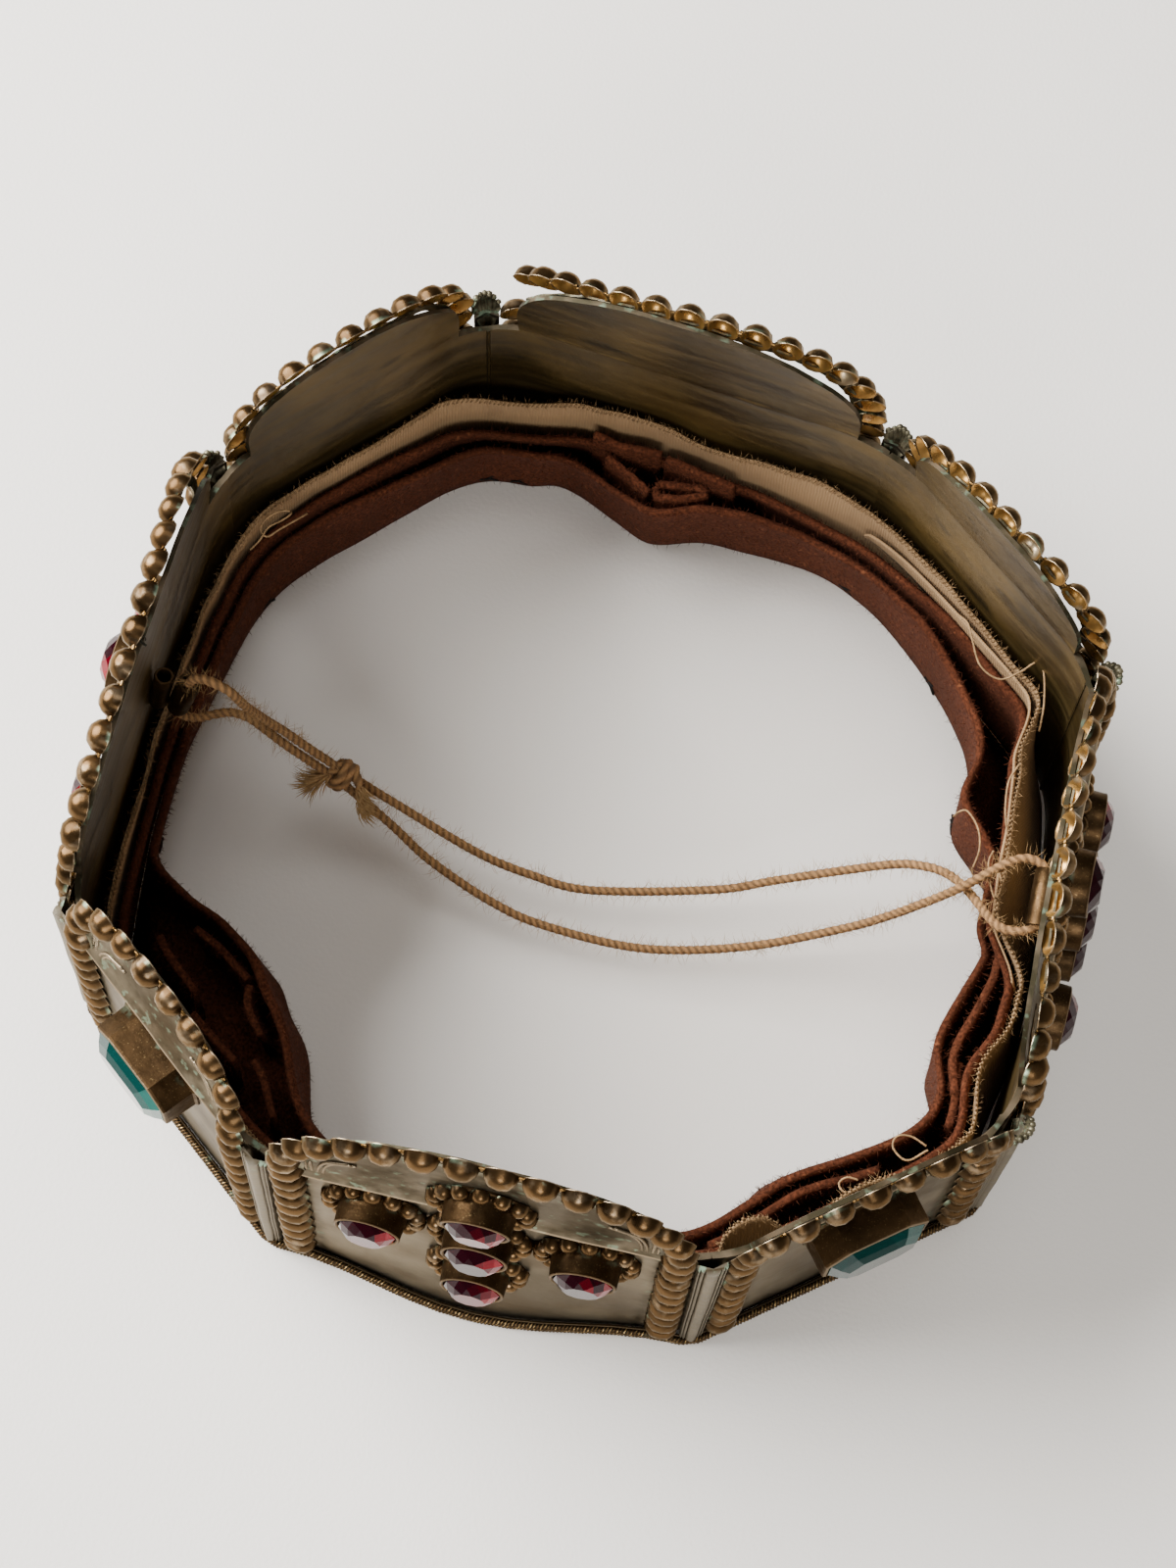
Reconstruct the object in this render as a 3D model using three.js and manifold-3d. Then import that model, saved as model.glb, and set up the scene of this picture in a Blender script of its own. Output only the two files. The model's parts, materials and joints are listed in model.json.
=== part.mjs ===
// Octagonal stage crown: eight arched brass plates with bead borders, set stones, a felt and linen lining
// and a loop of twine across the hollow. Millimetres, +Z up, front plate facing -Y.
import * as THREE from 'three';
import { mergeVertices } from 'three/addons/utils/BufferGeometryUtils.js';
import Module from 'manifold-3d';

const wasm = await Module();
wasm.setup();

// Driving dimensions of the wall
const WALL_HEIGHT = 74;
const WALL_LEAN = THREE.MathUtils.degToRad(5);
const PLATE = 1;
const PLATE_END = 0.7;
const GAP = 0.3;

// Plan of the wall at the height of the crease, one row for each corner, anticlockwise from the front's
// left end. tip is the height of the leaf that stands on that corner's post.
const CORNERS = [
  { x: -47.5, y: -97, tip: 0 },
  { x: 47.5, y: -96, tip: 0 },
  { x: 102, y: -53.5, tip: 3 },
  { x: 104, y: 49.5, tip: 4 },
  { x: 48, y: 95, tip: 4.5 },
  { x: -51.5, y: 105, tip: 5 },
  { x: -100.5, y: 50, tip: 4 },
  { x: -101, y: -57, tip: 0 },
];

// Plates in the same order. lean is the lunette's lean from upright in degrees, bow how far the foot is
// dented out.
const PANELS = [
  { name: 'front', wide: true, lean: 3.5, bow: 6 },
  { name: 'front_right', wide: false, lean: -3, bow: 0 },
  { name: 'right', wide: true, lean: 13.5, bow: 5 },
  { name: 'back_right', wide: false, lean: 12.5, bow: 0 },
  { name: 'back', wide: true, lean: 14, bow: 4 },
  { name: 'back_left', wide: false, lean: 7, bow: 0 },
  { name: 'left', wide: true, lean: 11, bow: 5 },
  { name: 'front_left', wide: false, lean: 14, bow: 0 },
];

// Arched lunette and its bead border
const ARCH_POWER = 2.25;
const ARCH_STEPS = 10;
const BORDER_STEPS = 48;
const SPRING = 6;
const RISE = { wide: 34, narrow: 19.5 };
const BORDER_INSET = 7;
const BORDER_FOOT = 4.4;
const EDGE_INSET = 1.6;
const BEAD_PITCH = 7.5;
const BEAD_RADIUS = 3.3;
const BEAD_HEIGHT = 3;
const BEAD_WEB = 1.3;
const BEAD_SHOULDER = 0.28;
const BEAD_TOP = 0.58;
const BREAK_BEADS = 3;
const BREAK_LIFT = 4;
const CURL_BEADS = 5;

// Set stones
const CROSS_ARM = 22.6;
const CROSS_HEIGHT = 61;
const BLOCK_HEIGHT = 58;
const ROUND_SIDES = 10;
const ROSETTE_RADIUS = 11;
const ROSETTE_HEIGHT = 2;
const ROSETTE_BEVEL = 0.6;
const COLLET_RADIUS = 7.1;
const COLLET_RIM = 0.6;
const COLLET_DEPTH = 6;
const COLLET_TAPER = 0.5;
const SEAT_DEPTH = 3;
const STONE_CROWN = 2.3;
const STONE_TABLE = 0.58;
const STONE_FIT = 0.42;
const STONE_TURN = 0.25;
const BLOCK = { width: 24, height: 19, corner: 5, seatCorner: 4.4, depth: 8, rim: 1, table: 3 };
const BLOCK_CROWN = 2.6;

// Spandrel relief: its size, and its width and waist as shares of that
const SPANDREL = { size: 9, height: 0.7, width: 0.7, waist: 0.35, sag: 0.45 };

// Corner posts: height and spread of the foot, then the section's turns, each with its arm along the plate
// and its height over the plate's face
const POST_FOOT = 4;
const POST_FOOT_SPREAD = 0.8;
const POST_SECTION = [
  { arm: -3.3, out: GAP }, { arm: 0, out: GAP }, { arm: 3.3, out: GAP }, { arm: 3.3, out: 1.5 },
  { arm: 2.3, out: 1 }, { arm: 1.5, out: 1.7 }, { arm: 0, out: 1.9 }, { arm: -1.5, out: 1.7 },
  { arm: -2.3, out: 1 }, { arm: -3.3, out: 1.5 },
];
const LEAF = { middle: 0.5, middleLift: 0.9, topLift: 0.5, topSpread: 0.6 };

// Base moulding
const MOULDING_HEIGHT = 3.6;
const MOULDING_DEPTH = 2.9;
const MOULDING_ROUND = 0.6;

// Socket tubes, axis ends in plate coordinates (along, up, out) with outer and bore radius
const TUBES = {
  left: [
    { foot: [-2.4, 58, -2.8], head: [-3.8, 71, -3.8], radius: 2.2, bore: 1.6 },
    { foot: [-2.4, 58, -7.4], head: [-3.8, 71, -9.6], radius: 2.6, bore: 1.9 },
  ],
  right: [{ foot: [-2.4, 57, -3.4], head: [10.6, 58.5, -3.4], radius: 2.9, bore: 2.3 }],
};

// Lining, one row for each layer: heights of its foot and top edge, insets of its outer face there from
// the wall's inner face, and its thickness
const RING_STEPS = 54;
const CORNER_ROUNDING = 24;
const LAYERS = {
  linen_band: { foot: 1, top: 49, footInset: 0.6, topInset: 2.6, thick: 0.8 },
  felt_outer: { foot: 5, top: 41, footInset: 1.9, topInset: 4.4, thick: 2.2 },
  felt_inner: { foot: 5, top: 37, footInset: 4.6, topInset: 7.2, thick: 2.2 },
};
const WAD = { foot: 5.5, top: 33, behind: 0.6, before: 1.6 };

// Inner felt's bulges, one row for each turn of the fold: bearing from +X in degrees and depth into the
// hollow at the foot and at the top edge
const BULGES = [
  { at: 0, foot: 2.5, top: 2.5 }, { at: 7, foot: 3.5, top: 3 }, { at: 13, foot: 10.5, top: 9 },
  { at: 20, foot: 17, top: 15 }, { at: 26, foot: 12, top: 10.5 }, { at: 33, foot: 6.5, top: 6 },
  { at: 44, foot: 2, top: 2 }, { at: 55, foot: 0.5, top: 0.5 }, { at: 68, foot: 0.5, top: 0.5 },
  { at: 78, foot: 4, top: 4 }, { at: 85, foot: 6.5, top: 7 }, { at: 93, foot: 12, top: 12 },
  { at: 99, foot: 8.5, top: 9 }, { at: 107, foot: 2, top: 2 }, { at: 112, foot: 3.5, top: 2.5 },
  { at: 124, foot: 1, top: 1 }, { at: 150, foot: 0, top: 0 }, { at: 190, foot: 0, top: 0 },
  { at: 198, foot: 1, top: 0.5 }, { at: 204, foot: 15, top: 10 }, { at: 209, foot: 27, top: 19 },
  { at: 215, foot: 30, top: 22 }, { at: 222, foot: 26.5, top: 19 }, { at: 230, foot: 23, top: 15.5 },
  { at: 239, foot: 13, top: 8 }, { at: 250, foot: 4, top: 2.5 }, { at: 265, foot: 1.5, top: 1 },
  { at: 285, foot: 1.5, top: 1 }, { at: 297, foot: 5, top: 2.5 }, { at: 306, foot: 12, top: 5.5 },
  { at: 313, foot: 15.5, top: 7 }, { at: 321, foot: 11, top: 5.5 }, { at: 330, foot: 8, top: 4.5 },
  { at: 336, foot: 6, top: 5 }, { at: 341, foot: 11, top: 9 }, { at: 350, foot: 7.5, top: 6.5 },
];

// Places where the whole lining's top edge stands away from the wall: bearing and half width in degrees, the
// length of each end's slope in degrees, and depth
const SWAYS = [
  { at: 11, half: 20, ramp: 9, depth: 9 },
  { at: 114, half: 10, ramp: 10, depth: 4 },
  { at: 339, half: 8, ramp: 8, depth: 4.5 },
];

// Folded wads, the first and last of the lining's stations over the pockets that they fill
const WADS = [
  { name: 'back', first: 12, last: 15 },
  { name: 'front_left', first: 31, last: 36 },
  { name: 'front_right', first: 46, last: 48 },
  { name: 'right', first: 51, last: 53 },
];

// Twine, hand-laid route of each strand from the left tube to the right tube
const TWINE_RADIUS = 1.1;
const TWINE_SIDES = 8;
const TWINE_UPPER = [
  [-92.7, -0.05, 66.8], [-91.4, 0.3, 70.7], [-90.2, 0.4, 72.7], [-88.2, 0.3, 74], [-85.9, 0, 74.3],
  [-83.7, -0.3, 73.75], [-81.95, -0.5, 72.3], [-80.9, -0.55, 70], [-80, -0.25, 66], [-78.5, 0.6, 60],
  [-76.3, 1.5, 53.6], [-73, 1.9, 48.2], [-69, 1.55, 43.5], [-65, 1.2, 39.1], [-60, 0.75, 33.9],
  [-54.2, 0.1, 28.7], [-46, -1.4, 24.2], [-26, -5.7, 16.4], [-12, -7.2, 13.6], [3, -7.1, 12.6],
  [32, -0.6, 15.8], [46, 4, 20.4], [69, 9.9, 32], [77, 10.2, 36.8], [82.6, 8.3, 40.8], [87.2, 4, 45.2],
  [92.6, -3.6, 51.6], [94.9, -5.5, 53.4], [97.4, -6.1, 54.8], [100, -5.6, 55.8], [102.1, -4.1, 56.45],
  [102.75, -3.4, 56.6],
];
const TWINE_LOWER = [
  [-95.1, -0.85, 59.5], [-96.1, -1.2, 56.4], [-96.4, -1.3, 54.1], [-95.6, -1.2, 51.9], [-94, -0.8, 50.2],
  [-91.8, 0.2, 49.3], [-89, 1.6, 49.5], [-85.4, 2.6, 50.3], [-81.3, 2.4, 50], [-77.6, 1.4, 48.2],
  [-74, 0.4, 45.6], [-70, -0.2, 41.6], [-66, -0.55, 37.2], [-61, -1, 32], [-54.6, -2.8, 26.6],
  [-46, -6.4, 22.6], [-36, -11, 18], [-20, -15.8, 12.8], [-6, -17.8, 10.2], [18, -17.4, 9.4],
  [42, -12, 13.2], [63, -4.9, 22.8], [72, -1.8, 30.6], [79, 0.8, 39.2], [84.2, 2.9, 46.6],
  [88.3, 5.3, 51.5], [91.6, 7.7, 54.5], [94.6, 9.6, 56.4], [97.3, 10.4, 57.4], [99.95, 9.9, 57.9],
  [102, 8.4, 58], [102.65, 7.7, 57.9],
];
const KNOT = {
  at: [-60, 0, 33], along: [0.72, -0.1, -0.69], radius: 4.9, hole: 3.1, width: 5, shoulder: 0.8, sides: 8,
};
const KNOT_TAILS = [{ reach: [5, -10, -3] }, { reach: [-9, -7, -5] }];

// Finishes
const FINISH = {
  plate: { color: 0x8d8473, metalness: 0.9, roughness: 0.42 },
  bead: { color: 0x7d5f3e, metalness: 0.9, roughness: 0.38 },
  post: { color: 0xa29a8c, metalness: 0.9, roughness: 0.4 },
  moulding: { color: 0x6f5638, metalness: 0.8, roughness: 0.5 },
  red: { color: 0x9c1230, metalness: 0, roughness: 0.08 },
  green: { color: 0x1e8c82, metalness: 0, roughness: 0.08 },
  linen: { color: 0xaf9170, metalness: 0, roughness: 0.95 },
  felt: { color: 0x6e3a20, metalness: 0, roughness: 1 },
  twine: { color: 0xb99669, metalness: 0, roughness: 0.9 },
};

const crown = new THREE.Group();

// Mesh helpers
function addPiece(name, finish, geometry) {
  const mesh = new THREE.Mesh(geometry, new THREE.MeshStandardMaterial(FINISH[finish]));
  mesh.name = name;
  crown.add(mesh);
}

function fromTriangles(points, triangles) {
  const volume = triangles.reduce((sum, [a, b, c]) => {
    const cross = new THREE.Vector3().crossVectors(points[b], points[c]);
    return sum + points[a].dot(cross);
  }, 0);
  const order = volume > 0 ? triangles : triangles.map(([a, b, c]) => [a, c, b]);
  const geometry = new THREE.BufferGeometry().setFromPoints(points);
  geometry.setIndex(order.flat());
  return geometry;
}

function toSolid(geometry) {
  const bare = geometry.clone();
  bare.deleteAttribute('normal');
  bare.deleteAttribute('uv');
  const merged = mergeVertices(bare, 1e-4);
  return new wasm.Manifold(new wasm.Mesh({
    numProp: 3,
    vertProperties: new Float32Array(merged.attributes.position.array),
    triVerts: new Uint32Array(merged.index.array),
  }));
}

function fromSolid(solid) {
  const { vertProperties, triVerts } = solid.getMesh();
  const geometry = new THREE.BufferGeometry();
  geometry.setAttribute('position', new THREE.BufferAttribute(new Float32Array(vertProperties), 3));
  geometry.setIndex(new THREE.BufferAttribute(new Uint32Array(triVerts), 1));
  return geometry;
}

// A row of closed sections, joined into a ring or closed with flat ends. The faces on the two sides of the
// sections are split along matching diagonals, so that one layer lies close to the next.
function loft(sections, closed) {
  const size = sections[0].length;
  const points = sections.flat();
  const triangles = [];
  const last = closed ? sections.length : sections.length - 1;
  for (let i = 0; i < last; i += 1) {
    const next = (i + 1) % sections.length;
    for (let j = 0; j < size; j += 1) {
      const k = (j + 1) % size;
      const [a, b] = [i * size + j, i * size + k];
      const [c, d] = [next * size + j, next * size + k];
      triangles.push(...(j < size / 2 ? [[a, c, b], [b, c, d]] : [[a, c, d], [a, d, b]]));
    }
  }
  if (!closed) {
    const end = (sections.length - 1) * size;
    const flat = flatten(sections[0]);
    for (const [a, b, c] of THREE.ShapeUtils.triangulateShape(flat, [])) {
      triangles.push([a, b, c], [end + a, end + c, end + b]);
    }
  }
  return fromTriangles(points, triangles);
}

// A section's own flat coordinates, for closing its ends
function flatten(section) {
  const [origin] = section;
  const normal = new THREE.Vector3();
  section.forEach((point, i) => {
    const next = section[(i + 1) % section.length];
    normal.add(new THREE.Vector3().crossVectors(point.clone().sub(origin), next.clone().sub(origin)));
  });
  normal.normalize();
  const across = section[1].clone().sub(origin).normalize();
  const up = new THREE.Vector3().crossVectors(normal, across);
  return section.map((point) => {
    const offset = point.clone().sub(origin);
    return new THREE.Vector2(offset.dot(across), offset.dot(up));
  });
}

// A bent sheet of flat triangles, given thickness between two offsets
function sheet(flat, triangles, place, outer, inner) {
  const count = flat.length;
  const points = [outer, inner].flatMap((w) => flat.map(([u, v]) => place(u, v, w)));
  const all = [];
  const edges = new Map();
  for (const [a, b, c] of triangles) {
    all.push([a, b, c], [count + a, count + c, count + b]);
    for (const [p, q] of [[a, b], [b, c], [c, a]]) {
      if (!edges.delete(`${q},${p}`)) edges.set(`${p},${q}`, [p, q]);
    }
  }
  for (const [p, q] of edges.values()) all.push([p, count + p, q], [q, count + p, count + q]);
  return fromTriangles(points, all);
}

// Wall geometry
const outward = CORNERS.map((corner, i) => {
  const next = CORNERS[(i + 1) % CORNERS.length];
  const along = new THREE.Vector2(next.x - corner.x, next.y - corner.y).normalize();
  return { along, out: new THREE.Vector2(along.y, -along.x) };
});

// Corner of the wall at height z, with both its plates moved out by w
function wallCorner(i, z, w) {
  const count = CORNERS.length;
  const before = outward[(i + count - 1) % count];
  const after = outward[i % count];
  const shift = (WALL_HEIGHT - z) * Math.tan(WALL_LEAN) + w / Math.cos(WALL_LEAN);
  const bisector = before.out.clone().add(after.out).normalize();
  const corner = CORNERS[i % count];
  const reach = shift / bisector.dot(after.out);
  return new THREE.Vector3(corner.x + bisector.x * reach, corner.y + bisector.y * reach, z);
}

// A plate's own coordinates: u along it from its middle, v up its slope, w out of its outer face
function makePanel(row, i) {
  const crease = WALL_HEIGHT / Math.cos(WALL_LEAN);
  const { along, out } = outward[i];
  const [left, right] = [wallCorner(i, WALL_HEIGHT, 0), wallCorner(i + 1, WALL_HEIGHT, 0)];
  const middle = left.clone().add(right).multiplyScalar(0.5);
  const e = new THREE.Vector3(along.x, along.y, 0);
  const n = new THREE.Vector3(out.x, out.y, 0);
  const width = right.distanceTo(left);
  const sideAt = (end, v) => {
    const corner = wallCorner(i + end, v * Math.cos(WALL_LEAN), 0);
    return corner.sub(middle).dot(e);
  };
  const lean = THREE.MathUtils.degToRad(row.lean);
  const dent = (u, v) => (v > crease ? 0 : row.bow * (1 - v / crease) * Math.cos((Math.PI * u) / width) ** 2);
  const place = (u, v, w) => {
    const upper = v > crease;
    const angle = upper ? lean : WALL_LEAN;
    const facing = Math.abs(v - crease) < 1e-6 ? (lean + WALL_LEAN) / 2 : angle;
    const rise = v - crease;
    const reach = -rise * Math.sin(angle) + (w + dent(u, v)) * Math.cos(facing);
    const z = WALL_HEIGHT + rise * Math.cos(angle) + w * Math.sin(facing);
    return middle.clone().addScaledVector(e, u).addScaledVector(n, reach).setZ(Math.max(z, 0));
  };
  const half = width / 2 - BORDER_INSET;
  const rise = row.wide ? RISE.wide : RISE.narrow;
  return { ...row, crease, width, middle, half, rise, sideAt, dent, place };
}
const panels = PANELS.map(makePanel);

// Local axes of a plate at a point, for what stands on it
function placement(panel, u, v, w) {
  const origin = panel.place(u, v, w);
  const x = panel.place(u + 1, v, w).sub(panel.place(u - 1, v, w)).normalize();
  const y = panel.place(u, v + 1, w).sub(panel.place(u, v - 1, w)).normalize();
  const z = new THREE.Vector3().crossVectors(x, y).normalize();
  y.crossVectors(z, x);
  return new THREE.Matrix4().makeBasis(x, y, z).setPosition(origin);
}

// Half of a superellipse arch over the springing, as points from left to right
function archPoints(half, rise, base, steps) {
  const points = [];
  for (let i = 0; i <= steps; i += 1) {
    const angle = (Math.PI * i) / steps;
    const [c, s] = [Math.cos(angle), Math.sin(angle)];
    const power = 2 / ARCH_POWER;
    points.push([-Math.sign(c) * half * Math.abs(c) ** power, base + rise * Math.abs(s) ** power]);
  }
  return points;
}

// Plates: stations across the crease and across the foot, closer together where the foot is dented
function plateStations(panel) {
  const { crease } = panel;
  const edge = panel.half - EDGE_INSET;
  const shares = panel.bow > 0 ? [-1, -0.5, 0, 0.5, 1] : [-1, 1];
  const [footLeft, footRight] = [panel.sideAt(0, 0) + PLATE_END, panel.sideAt(1, 0) - PLATE_END];
  const [topLeft, topRight] = [panel.sideAt(0, crease) + PLATE_END, panel.sideAt(1, crease) - PLATE_END];
  const top = [topLeft, ...shares.map((s) => s * edge), topRight];
  const foot = top.map((u) => THREE.MathUtils.mapLinear(u, topLeft, topRight, footLeft, footRight));
  return { edge, top, foot };
}

function plateGeometry(panel) {
  const { crease } = panel;
  const { edge, top, foot } = plateStations(panel);
  const flat = [...foot.map((u) => [u, 0]), ...top.map((u) => [u, crease])];
  const triangles = [];
  for (let k = 0; k < top.length - 1; k += 1) {
    const up = k + top.length;
    triangles.push([k, k + 1, up], [k + 1, up + 1, up]);
  }
  const arch = archPoints(edge, panel.rise - EDGE_INSET, crease + SPRING, ARCH_STEPS).reverse();
  const lower = top.slice(1, -1).map((u, k) => top.length + 1 + k);
  const first = flat.length;
  flat.push(...arch);
  const ring = [...lower, ...arch.map((point, k) => first + k)];
  const outline = ring.map((k) => new THREE.Vector2(...flat[k]));
  for (const face of THREE.ShapeUtils.triangulateShape(outline, [])) triangles.push(face.map((k) => ring[k]));
  return sheet(flat, triangles, panel.place, 0, -PLATE);
}

// Round collet with its rosette ring, turned about the way it faces
function rosetteGeometry() {
  const foot = -PLATE / 2;
  const seat = COLLET_RADIUS - COLLET_RIM;
  const profile = [
    [0, foot], [ROSETTE_RADIUS, foot], [ROSETTE_RADIUS - ROSETTE_BEVEL, ROSETTE_HEIGHT],
    [COLLET_RADIUS + COLLET_TAPER, ROSETTE_HEIGHT], [COLLET_RADIUS, COLLET_DEPTH], [seat, COLLET_DEPTH],
    [seat, SEAT_DEPTH], [0, SEAT_DEPTH],
  ].map(([r, z]) => new THREE.Vector2(r, z));
  return new THREE.LatheGeometry(profile, ROUND_SIDES).rotateX(Math.PI / 2);
}

function cutCorners(width, height, corner) {
  const [x, y] = [width / 2, height / 2];
  return [
    [x, y - corner], [x - corner, y], [corner - x, y], [-x, y - corner],
    [-x, corner - y], [corner - x, -y], [x - corner, -y], [x, corner - y],
  ];
}

// A solid through outlines stacked along Z
function stack(levels) {
  return loft(levels.map(({ outline, z }) => outline.map(([x, y]) => new THREE.Vector3(x, y, z))), false);
}

function blockCollet() {
  const { width, height, corner, seatCorner, depth, rim } = BLOCK;
  const outer = cutCorners(width, height, corner);
  const seat = cutCorners(width - 2 * rim, height - 2 * rim, seatCorner);
  const body = stack([{ outline: outer, z: -PLATE / 2 }, { outline: outer, z: depth }]);
  const hollow = stack([{ outline: seat, z: depth - SEAT_DEPTH }, { outline: seat, z: depth + 1 }]);
  return toSolid(body).subtract(toSolid(hollow));
}

function spandrelGeometry(panel, side) {
  const corner = [side * (panel.half - BEAD_RADIUS - 3 * GAP), panel.crease + 1];
  const { size, width, waist, sag, height } = SPANDREL;
  const flat = [
    corner,
    [corner[0] - side * size * width, corner[1]],
    [corner[0] - side * size * waist, corner[1] + size * sag],
    [corner[0], corner[1] + size],
  ];
  return sheet(flat, [[0, 1, 2], [0, 2, 3]], panel.place, height, -PLATE / 2);
}

function tubeGeometry(panel, { foot, head, radius, bore }) {
  const start = panel.place(...foot);
  const axis = panel.place(...head).sub(start);
  const length = axis.length();
  const profile = [[bore, 0], [radius, 0], [radius, length], [bore, length], [bore, 0]];
  const tube = new THREE.LatheGeometry(profile.map(([r, z]) => new THREE.Vector2(r, z)), ROUND_SIDES);
  const turn = new THREE.Quaternion().setFromUnitVectors(new THREE.Vector3(0, 1, 0), axis.normalize());
  return tube.applyQuaternion(turn).translate(start.x, start.y, start.z);
}

const CROSS = [
  { name: 'centre', u: 0, v: 0 }, { name: 'top', u: 0, v: 1 }, { name: 'bottom', u: 0, v: -1 },
  { name: 'left', u: -1, v: 0 }, { name: 'right', u: 1, v: 0 },
];

function crossPlaces(panel) {
  return CROSS.map(({ name, u, v }) => ({
    name,
    at: placement(panel, u * CROSS_ARM, CROSS_HEIGHT + v * CROSS_ARM, 0),
  }));
}

function buildPlate(panel) {
  let solid = toSolid(plateGeometry(panel));
  if (panel.wide) {
    for (const { at } of crossPlaces(panel)) solid = solid.add(toSolid(rosetteGeometry().applyMatrix4(at)));
  } else {
    const at = placement(panel, 0, BLOCK_HEIGHT, 0);
    solid = solid.add(toSolid(fromSolid(blockCollet()).applyMatrix4(at)));
  }
  for (const side of [-1, 1]) solid = solid.add(toSolid(spandrelGeometry(panel, side)));
  for (const tube of TUBES[panel.name] ?? []) solid = solid.add(toSolid(tubeGeometry(panel, tube)));
  addPiece(`panel_${panel.name}`, 'plate', fromSolid(solid));
}

// Stones
function roundStone() {
  const girdle = COLLET_RADIUS - COLLET_RIM - STONE_FIT;
  const base = SEAT_DEPTH + GAP;
  const ring = (radius, turn) => Array.from({ length: ROUND_SIDES }, (_, k) => {
    const angle = ((k + turn) * 2 * Math.PI) / ROUND_SIDES;
    return [radius * Math.cos(angle), radius * Math.sin(angle)];
  });
  return stack([
    { outline: ring(girdle, STONE_TURN), z: base },
    { outline: ring(girdle, STONE_TURN), z: COLLET_DEPTH },
    { outline: ring(girdle * STONE_TABLE, STONE_TURN), z: COLLET_DEPTH + STONE_CROWN },
  ]);
}

function blockStone() {
  const { width, height, seatCorner, depth, rim, table } = BLOCK;
  const outline = (inset) => {
    const less = 2 * (rim + GAP + inset);
    return cutCorners(width - less, height - less, seatCorner);
  };
  return stack([
    { outline: outline(0), z: depth - SEAT_DEPTH + GAP },
    { outline: outline(0), z: depth },
    { outline: outline(table), z: depth + BLOCK_CROWN },
  ]);
}

function buildStones(panel) {
  if (panel.wide) {
    for (const { name, at } of crossPlaces(panel)) {
      addPiece(`red_stone_${panel.name}_${name}`, 'red', roundStone().applyMatrix4(at));
    }
  } else {
    const at = placement(panel, 0, BLOCK_HEIGHT, 0);
    addPiece(`green_stone_${panel.name}`, 'green', blockStone().applyMatrix4(at));
  }
}

// Bead borders: one half-round strip up the left side, over the arch and down the right side
function borderPath(panel) {
  const { crease, half, rise } = panel;
  const foot = panel.sideAt(0, BORDER_FOOT) + BORDER_INSET;
  const footRight = panel.sideAt(1, BORDER_FOOT) - BORDER_INSET;
  const arch = archPoints(half, rise, crease + SPRING, BORDER_STEPS);
  const points = [[foot, BORDER_FOOT], [-half, crease], ...arch, [half, crease], [footRight, BORDER_FOOT]];
  const curve = new THREE.CurvePath();
  for (let k = 1; k < points.length; k += 1) {
    curve.add(new THREE.LineCurve(new THREE.Vector2(...points[k - 1]), new THREE.Vector2(...points[k])));
  }
  return curve;
}

// Sections of a run of beads: a narrow web and two full-width sections for each bead
function beadRun(panel, curve, first, last, total, lift) {
  const stations = [];
  for (let k = first; k < last; k += 1) {
    stations.push([k, BEAD_WEB], [k + BEAD_SHOULDER, BEAD_RADIUS], [k + 1 - BEAD_SHOULDER, BEAD_RADIUS]);
  }
  stations.push([last, BEAD_WEB]);
  return stations.map(([at, radius]) => {
    const share = at / total;
    const here = curve.getPointAt(Math.min(share, 1));
    const step = 0.2 / total;
    const behind = curve.getPointAt(Math.max(share - step, 0));
    const ahead = curve.getPointAt(Math.min(share + step, 1)).sub(behind);
    const across = new THREE.Vector2(-ahead.y, ahead.x).normalize();
    const raise = lift(at);
    const height = (BEAD_HEIGHT * radius) / BEAD_RADIUS;
    const corner = (side, w) => panel.place(here.x + across.x * side, here.y + across.y * side, w);
    const base = GAP + raise;
    return [
      corner(-radius, base), corner(-radius * BEAD_TOP, base + height),
      corner(radius * BEAD_TOP, base + height), corner(radius, base),
    ];
  });
}

function buildBorder(panel) {
  const curve = borderPath(panel);
  const total = Math.round(curve.getLength() / BEAD_PITCH);
  const column = Math.floor((panel.crease - BORDER_FOOT) / BEAD_PITCH);
  const name = `bead_border_${panel.name}`;
  if (panel.name !== 'back') {
    addPiece(name, 'bead', loft(beadRun(panel, curve, 0, total, total, () => 0), false));
    return;
  }
  const broken = total - column - BREAK_BEADS;
  const curl = (at) => BREAK_LIFT * Math.max(0, (at - broken + CURL_BEADS) / CURL_BEADS) ** 2;
  addPiece(name, 'bead', loft(beadRun(panel, curve, 0, broken, total, curl), false));
  const foot = beadRun(panel, curve, total - column, total, total, () => 0);
  addPiece('bead_column_back', 'bead', loft(foot, false));
}

// Corner posts: a ribbed V strip over each corner, some with a leaf at the head
function postSection(i, z, spread, lift) {
  const count = CORNERS.length;
  const before = outward[(i + count - 1) % count].along;
  const after = outward[i].along;
  return POST_SECTION.map(({ arm, out }) => {
    const along = arm < 0 ? before : after;
    const step = new THREE.Vector3(along.x, along.y, 0).multiplyScalar(arm * spread);
    return wallCorner(i, z, out + lift).add(step);
  });
}

function buildPost(corner, i) {
  const sections = [postSection(i, POST_FOOT, POST_FOOT_SPREAD, 0), postSection(i, WALL_HEIGHT, 1, 0)];
  if (corner.tip > 0) {
    sections.push(postSection(i, WALL_HEIGHT + corner.tip * LEAF.middle, 1, LEAF.middleLift));
    sections.push(postSection(i, WALL_HEIGHT + corner.tip, LEAF.topSpread, LEAF.topLift));
  }
  addPiece(`corner_post_${i + 1}`, 'post', loft(sections, false));
}

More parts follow.
